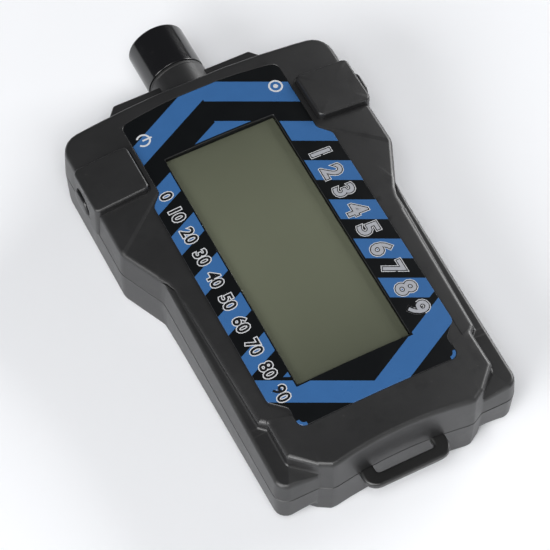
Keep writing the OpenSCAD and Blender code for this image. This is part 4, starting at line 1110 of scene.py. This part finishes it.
# Moulded finishes of the pieces made here: name, colour, roughness, size and depth of the grain
PLASTICS = {"key": ("key_plastic", (0.008, 0.008, 0.009), 0.38, 0.2, 0.006),
            "loop": ("loop_plastic", (0.009, 0.009, 0.009), 0.36, 0.25, 0.006),
            "gloss": ("tube_plastic", (0.006, 0.006, 0.007), 0.16, 0.5, 0.0015),
            "rubber": ("seal_rubber", (0.005, 0.005, 0.005), 0.55, 0.2, 0.004),
            "ring": ("ring_plastic", (0.008, 0.008, 0.009), 0.30, 0.2, 0.004)}
# Printing inks
INKS = {"ink_white": (0.60, 0.61, 0.63), "ink_black": (0.003, 0.003, 0.004), "ink_pale": (0.36, 0.37, 0.40)}
# Moulded finishes of CAD nodes: node, name, colour, roughness
INNER_PLASTICS = (("display_frame", "frame_plastic", (0.55, 0.55, 0.53), 0.45),
                  ("contact_strips", "strip_rubber", (0.45, 0.20, 0.22), 0.6),
                  ("processor", "processor_body", (0.015, 0.015, 0.017), 0.4),
                  ("power_switch", "power_switch_body", (0.015, 0.015, 0.017), 0.4),
                  ("set_switch", "set_switch_body", (0.015, 0.015, 0.017), 0.4),
                  ("resistors", "resistor_body", (0.012, 0.012, 0.014), 0.3),
                  ("capacitors", "capacitor_sleeve", (0.02, 0.025, 0.12), 0.25),
                  ("power_plunger", "power_plunger_plastic", (0.28, 0.07, 0.03), 0.4),
                  ("set_plunger", "set_plunger_plastic", (0.28, 0.07, 0.03), 0.4),
                  ("bulb_holder", "holder_plastic", (0.012, 0.012, 0.013), 0.45))
# Metal finishes of CAD nodes: node, name, colour, roughness
PLATING = (0.60, 0.58, 0.55)
INNER_METALS = (("crystal", "can_steel", (0.56, 0.55, 0.53), 0.28),
                ("bulb_leads", "bulb_leads_plating", PLATING, 0.27),
                ("positive_contact", "positive_contact_plating", PLATING, 0.27),
                ("negative_contact", "negative_contact_plating", PLATING, 0.27),
                ("bridge_contact", "bridge_contact_plating", PLATING, 0.27),
                ("battery_springs", "battery_springs_plating", PLATING, 0.27),
                ("case_screws", "screw_black", (0.05, 0.05, 0.052), 0.38),
                ("board_screws", "screw_zinc", (0.62, 0.62, 0.60), 0.30))


class TACHO_OT_finishes(bpy.types.Operator):
    """Makes the finishes and gives the CAD nodes theirs"""
    bl_idname = "tacho.finishes"
    bl_label = "Finishes"

    def execute(self, context):
        colours = context.scene.tacho_colours
        FINISHES["case"] = moulded("case_plastic", colours.case)
        FINISHES["label"] = film_finish(colours)
        for key, (name, *values) in PLASTICS.items():
            FINISHES[key] = moulded(name, *values)
        for name, ink_colour in INKS.items():
            FINISHES[name] = self.ink(name, ink_colour)
        FINISHES["lens"], FINISHES["pane"] = self.lens(), self.pane()
        FINISHES["display"] = self.display(colours)
        for node, *values in INNER_PLASTICS:
            paint(node, moulded(*values))
        for node, *values in INNER_METALS:
            paint(node, self.metal(*values))
        for node in ("left_cell", "right_cell"):
            paint(node, self.cell(node))
        paint("main_board", self.board())
        paint("light_source", self.bulb("source_epoxy", (0.35, 0.01, 0.01)))
        paint("light_sensor", self.bulb("sensor_epoxy", (0.02, 0.02, 0.05)))
        return {"FINISHED"}

    def lens(self):
        f = Finish("lens_glass")
        haze = f.noise(3, 3)
        f.set(base_color=f.mix(haze, (0.05, 0.06, 0.11), (0.09, 0.10, 0.16)), roughness=0.06 + haze * 0.03)
        f.bump(haze, 0.001)
        return f

    def display(self, colours):
        """An unlit display, cloudy, with painted shade darkening it towards both ends."""
        f = Finish("display_glass")
        cloud, fine = f.noise(14, 3), f.noise(0.3, 2)
        # painted shade: the display is darkened towards both ends, standing in for the shadow of the window's
        # walls
        painted_end_shade = ((f.axes()[1] + 3) / 26).work("POWER", 2)
        tone = f.mix(cloud * 0.7 + fine * 0.3, tinted(colours.display, 0.92), tinted(colours.display, 1.08))
        f.set(base_color=f.mix(painted_end_shade * 0.42, tone, tinted(colours.display, 0.35)),
              roughness=0.42 + (fine - 0.5) * 0.1)
        f.bump(fine, 0.002)
        return f

    def ink(self, name, colour):
        f = Finish(name)
        cloud = f.noise(1.2, 4)
        f.set(base_color=f.mix(cloud, tinted(colour, 0.88), colour), roughness=0.42 + (cloud - 0.5) * 0.15)
        f.bump(f.noise(0.2, 2), 0.002)
        return f

    def pane(self):
        """Clear plastic: light passes straight through, and its face mirrors the room."""
        f = Finish("clear_pane")
        smear = f.noise(7, 4)
        f.set(base_color=(0.02, 0.02, 0.02), roughness=0.04 + smear * 0.05)
        f.bump(smear, 0.002)
        clear = f.node("ShaderNodeBsdfTransparent", values={"Color": (0.94, 0.95, 0.94, 1)})
        fresnel = f.node("ShaderNodeFresnel", values={"IOR": 1.45})
        inside = Value(f, f.node("ShaderNodeNewGeometry").outputs["Backfacing"])
        share = Value(f, fresnel.outputs[0]) * (1 - inside)
        mix = f.node("ShaderNodeMixShader", values={0: share, 1: clear.outputs[0], 2: f.shader.outputs[0]})
        output = next(n for n in f.tree.nodes if n.type == "OUTPUT_MATERIAL")
        f.tree.links.new(mix.outputs[0], output.inputs["Surface"])
        return f

    def board(self):
        f = Finish("board_green")
        x, y, z = f.axes()
        track = ((x / 2.54).fraction() < 0.16) | ((y / 2.54).fraction() < 0.12)
        weave = f.noise(0.5, 2)
        base = f.mix(track * 0.5, (0.008, 0.085, 0.03), (0.02, 0.16, 0.06))
        f.set(base_color=f.mix(weave * 0.2, base, (0.01, 0.05, 0.02)), roughness=0.32 + weave * 0.1)
        f.bump(track + weave * 0.3, 0.02)
        return f

    def metal(self, name, colour, rough):
        f = Finish(name)
        streak = f.noise(0.6, 3, stretch=(1, 6, 1))
        f.set(base_color=f.mix(streak, tinted(colour, 0.8), colour),
              roughness=rough + (streak - 0.5) * 0.18, metallic=1.0)
        f.bump(streak, 0.003)
        return f

    def bulb(self, name, colour):
        f = Finish(name)
        cloud = f.noise(1.2, 2)
        f.set(base_color=f.mix(cloud, tinted(colour, 0.7), colour), roughness=0.10 + cloud * 0.05)
        f.bump(cloud, 0.002)
        return f

    def cell(self, node):
        """A plain cell jacket: a dark body with a copper-coloured band at its tip end."""
        low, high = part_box(node)
        f = Finish(node + "_jacket")
        x, y, z = f.axes()
        tip_up = node == "left_cell"
        run = (high.y - low.y) / MM
        along = (y - low.y / MM) / run if tip_up else (high.y / MM - y) / run
        band = along > 0.74
        steel = (along > 0.978) | (along < 0.012)
        scuff = f.noise(2, 4)
        base = f.mix(band, (0.02, 0.02, 0.022), (0.52, 0.24, 0.09))
        base = f.mix(steel, base, (0.6, 0.58, 0.55))
        f.set(base_color=base, roughness=0.24 + scuff * 0.14, metallic=(band | steel) * 0.9)
        f.bump(scuff, 0.004)
        return f


# ---------------------------------------------------------------- the studio

# What the camera looks at, in millimetres
TARGET = (-0.791, -0.7, 0)
# Lamps: name, place, width and height in metres, and power in watts
LAMPS = (("sheet_over_front", (-0.24, -0.36, 0.80), 0.52, 0.42, 4.2),
         ("window_left", (-0.72, -0.30, 0.42), 0.62, 0.36, 5.8),
         ("window_right", (0.88, 0.20, 0.38), 0.72, 0.36, 7.6),
         ("sheet_front", (0.10, -0.92, 0.34), 0.80, 0.34, 1.0))


class TACHO_OT_stage(bpy.types.Operator):
    """Makes the camera, the floor, the lamps and the world"""
    bl_idname = "tacho.stage"
    bl_label = "Stage"

    def execute(self, context):
        scene = context.scene
        self.camera(scene)
        self.floor(scene)
        for lamp in LAMPS:
            self.lamp(*lamp)
        self.world(scene)
        scene.view_settings.view_transform = "Standard"
        return {"FINISHED"}

    def camera(self, scene):
        studio = scene.tacho_studio
        az, el, roll = studio.azimuth, studio.elevation, studio.roll
        back = Vector((math.sin(az) * math.cos(el), -math.cos(az) * math.cos(el), math.sin(el)))
        level = Vector((math.cos(az), math.sin(az), 0))
        upright = back.cross(level)
        right = math.cos(roll) * level + math.sin(roll) * upright
        up = math.cos(roll) * upright - math.sin(roll) * level
        data = bpy.data.cameras.new("camera")
        data.sensor_width, data.lens, data.clip_start = 36, studio.lens, 0.01
        place = Matrix((right, up, back)).transposed().to_4x4()
        place.translation = Vector(TARGET) * MM + studio.distance * back
        camera = bpy.data.objects.new("camera", data)
        scene.collection.objects.link(camera)
        camera.matrix_world = place
        scene.camera = camera

    def floor(self, scene):
        deselect()
        bpy.ops.mesh.primitive_plane_add(size=4, location=(0, 0, 0))
        floor = bpy.context.object
        floor.name = "floor"
        f = Finish("floor_paper")
        tone = scene.tacho_colours.floor
        paper = f.noise(60, 3)
        f.set(base_color=f.mix(paper * 0.3, tuple(tone), tinted(tone, 1.02)), roughness=0.8)
        floor.data.materials.append(f.material)

    def lamp(self, name, place, width, height, power):
        data = bpy.data.lights.new(name, "AREA")
        data.shape, data.size, data.size_y, data.energy = "RECTANGLE", width, height, power
        lamp = bpy.data.objects.new(name, data)
        lamp.location = place
        lamp.rotation_euler = (Vector((0, 0, 0.01)) - lamp.location).to_track_quat("-Z", "Y").to_euler()
        bpy.context.scene.collection.objects.link(lamp)

    def world(self, scene):
        world = bpy.data.worlds.new("studio")
        scene.world = world
        world.use_nodes = True
        ground = world.node_tree.nodes["Background"]
        ground.inputs["Color"].default_value = (0.93, 0.96, 1.0, 1)
        ground.inputs["Strength"].default_value = 0.06


class TACHO_PT_panel(bpy.types.Panel):
    """Lists the steps that build the tachometer"""
    bl_idname = "TACHO_PT_panel"
    bl_label = "Tachometer"
    bl_space_type = "VIEW_3D"
    bl_region_type = "UI"
    bl_category = "Tachometer"

    def draw(self, context):
        column = self.layout.column()
        for step in STEPS:
            column.operator(step)
        for group in GROUPS:
            box_ui = self.layout.box()
            data = getattr(context.scene, group)
            for name in data.__annotations__:
                box_ui.prop(data, name)


STEPS = ("tacho.stage", "tacho.finishes", "tacho.front_shell", "tacho.rear_shell", "tacho.battery_door",
         "tacho.display", "tacho.face_label", "tacho.marks", "tacho.lens_tube", "tacho.keys",
         "tacho.lanyard_loop")
GROUPS = {"tacho_case": CaseSizes, "tacho_face": FaceSizes, "tacho_colours": Colours, "tacho_studio": Studio}
CLASSES = (*GROUPS.values(), TACHO_OT_front_shell, TACHO_OT_rear_shell, TACHO_OT_battery_door,
           TACHO_OT_display, TACHO_OT_face_label, TACHO_OT_marks, TACHO_OT_lens_tube, TACHO_OT_keys,
           TACHO_OT_lanyard_loop, TACHO_OT_finishes, TACHO_OT_stage, TACHO_PT_panel)


def register():
    for item in CLASSES:
        bpy.utils.register_class(item)
    for name, group in GROUPS.items():
        setattr(bpy.types.Scene, name, PointerProperty(type=group))


def unregister():
    for name in GROUPS:
        delattr(bpy.types.Scene, name)
    for item in reversed(CLASSES):
        bpy.utils.unregister_class(item)


def main():
    register()
    for step in STEPS:
        group, name = step.split(".")
        getattr(getattr(bpy.ops, group), name)()


if __name__ == "__main__":
    main()
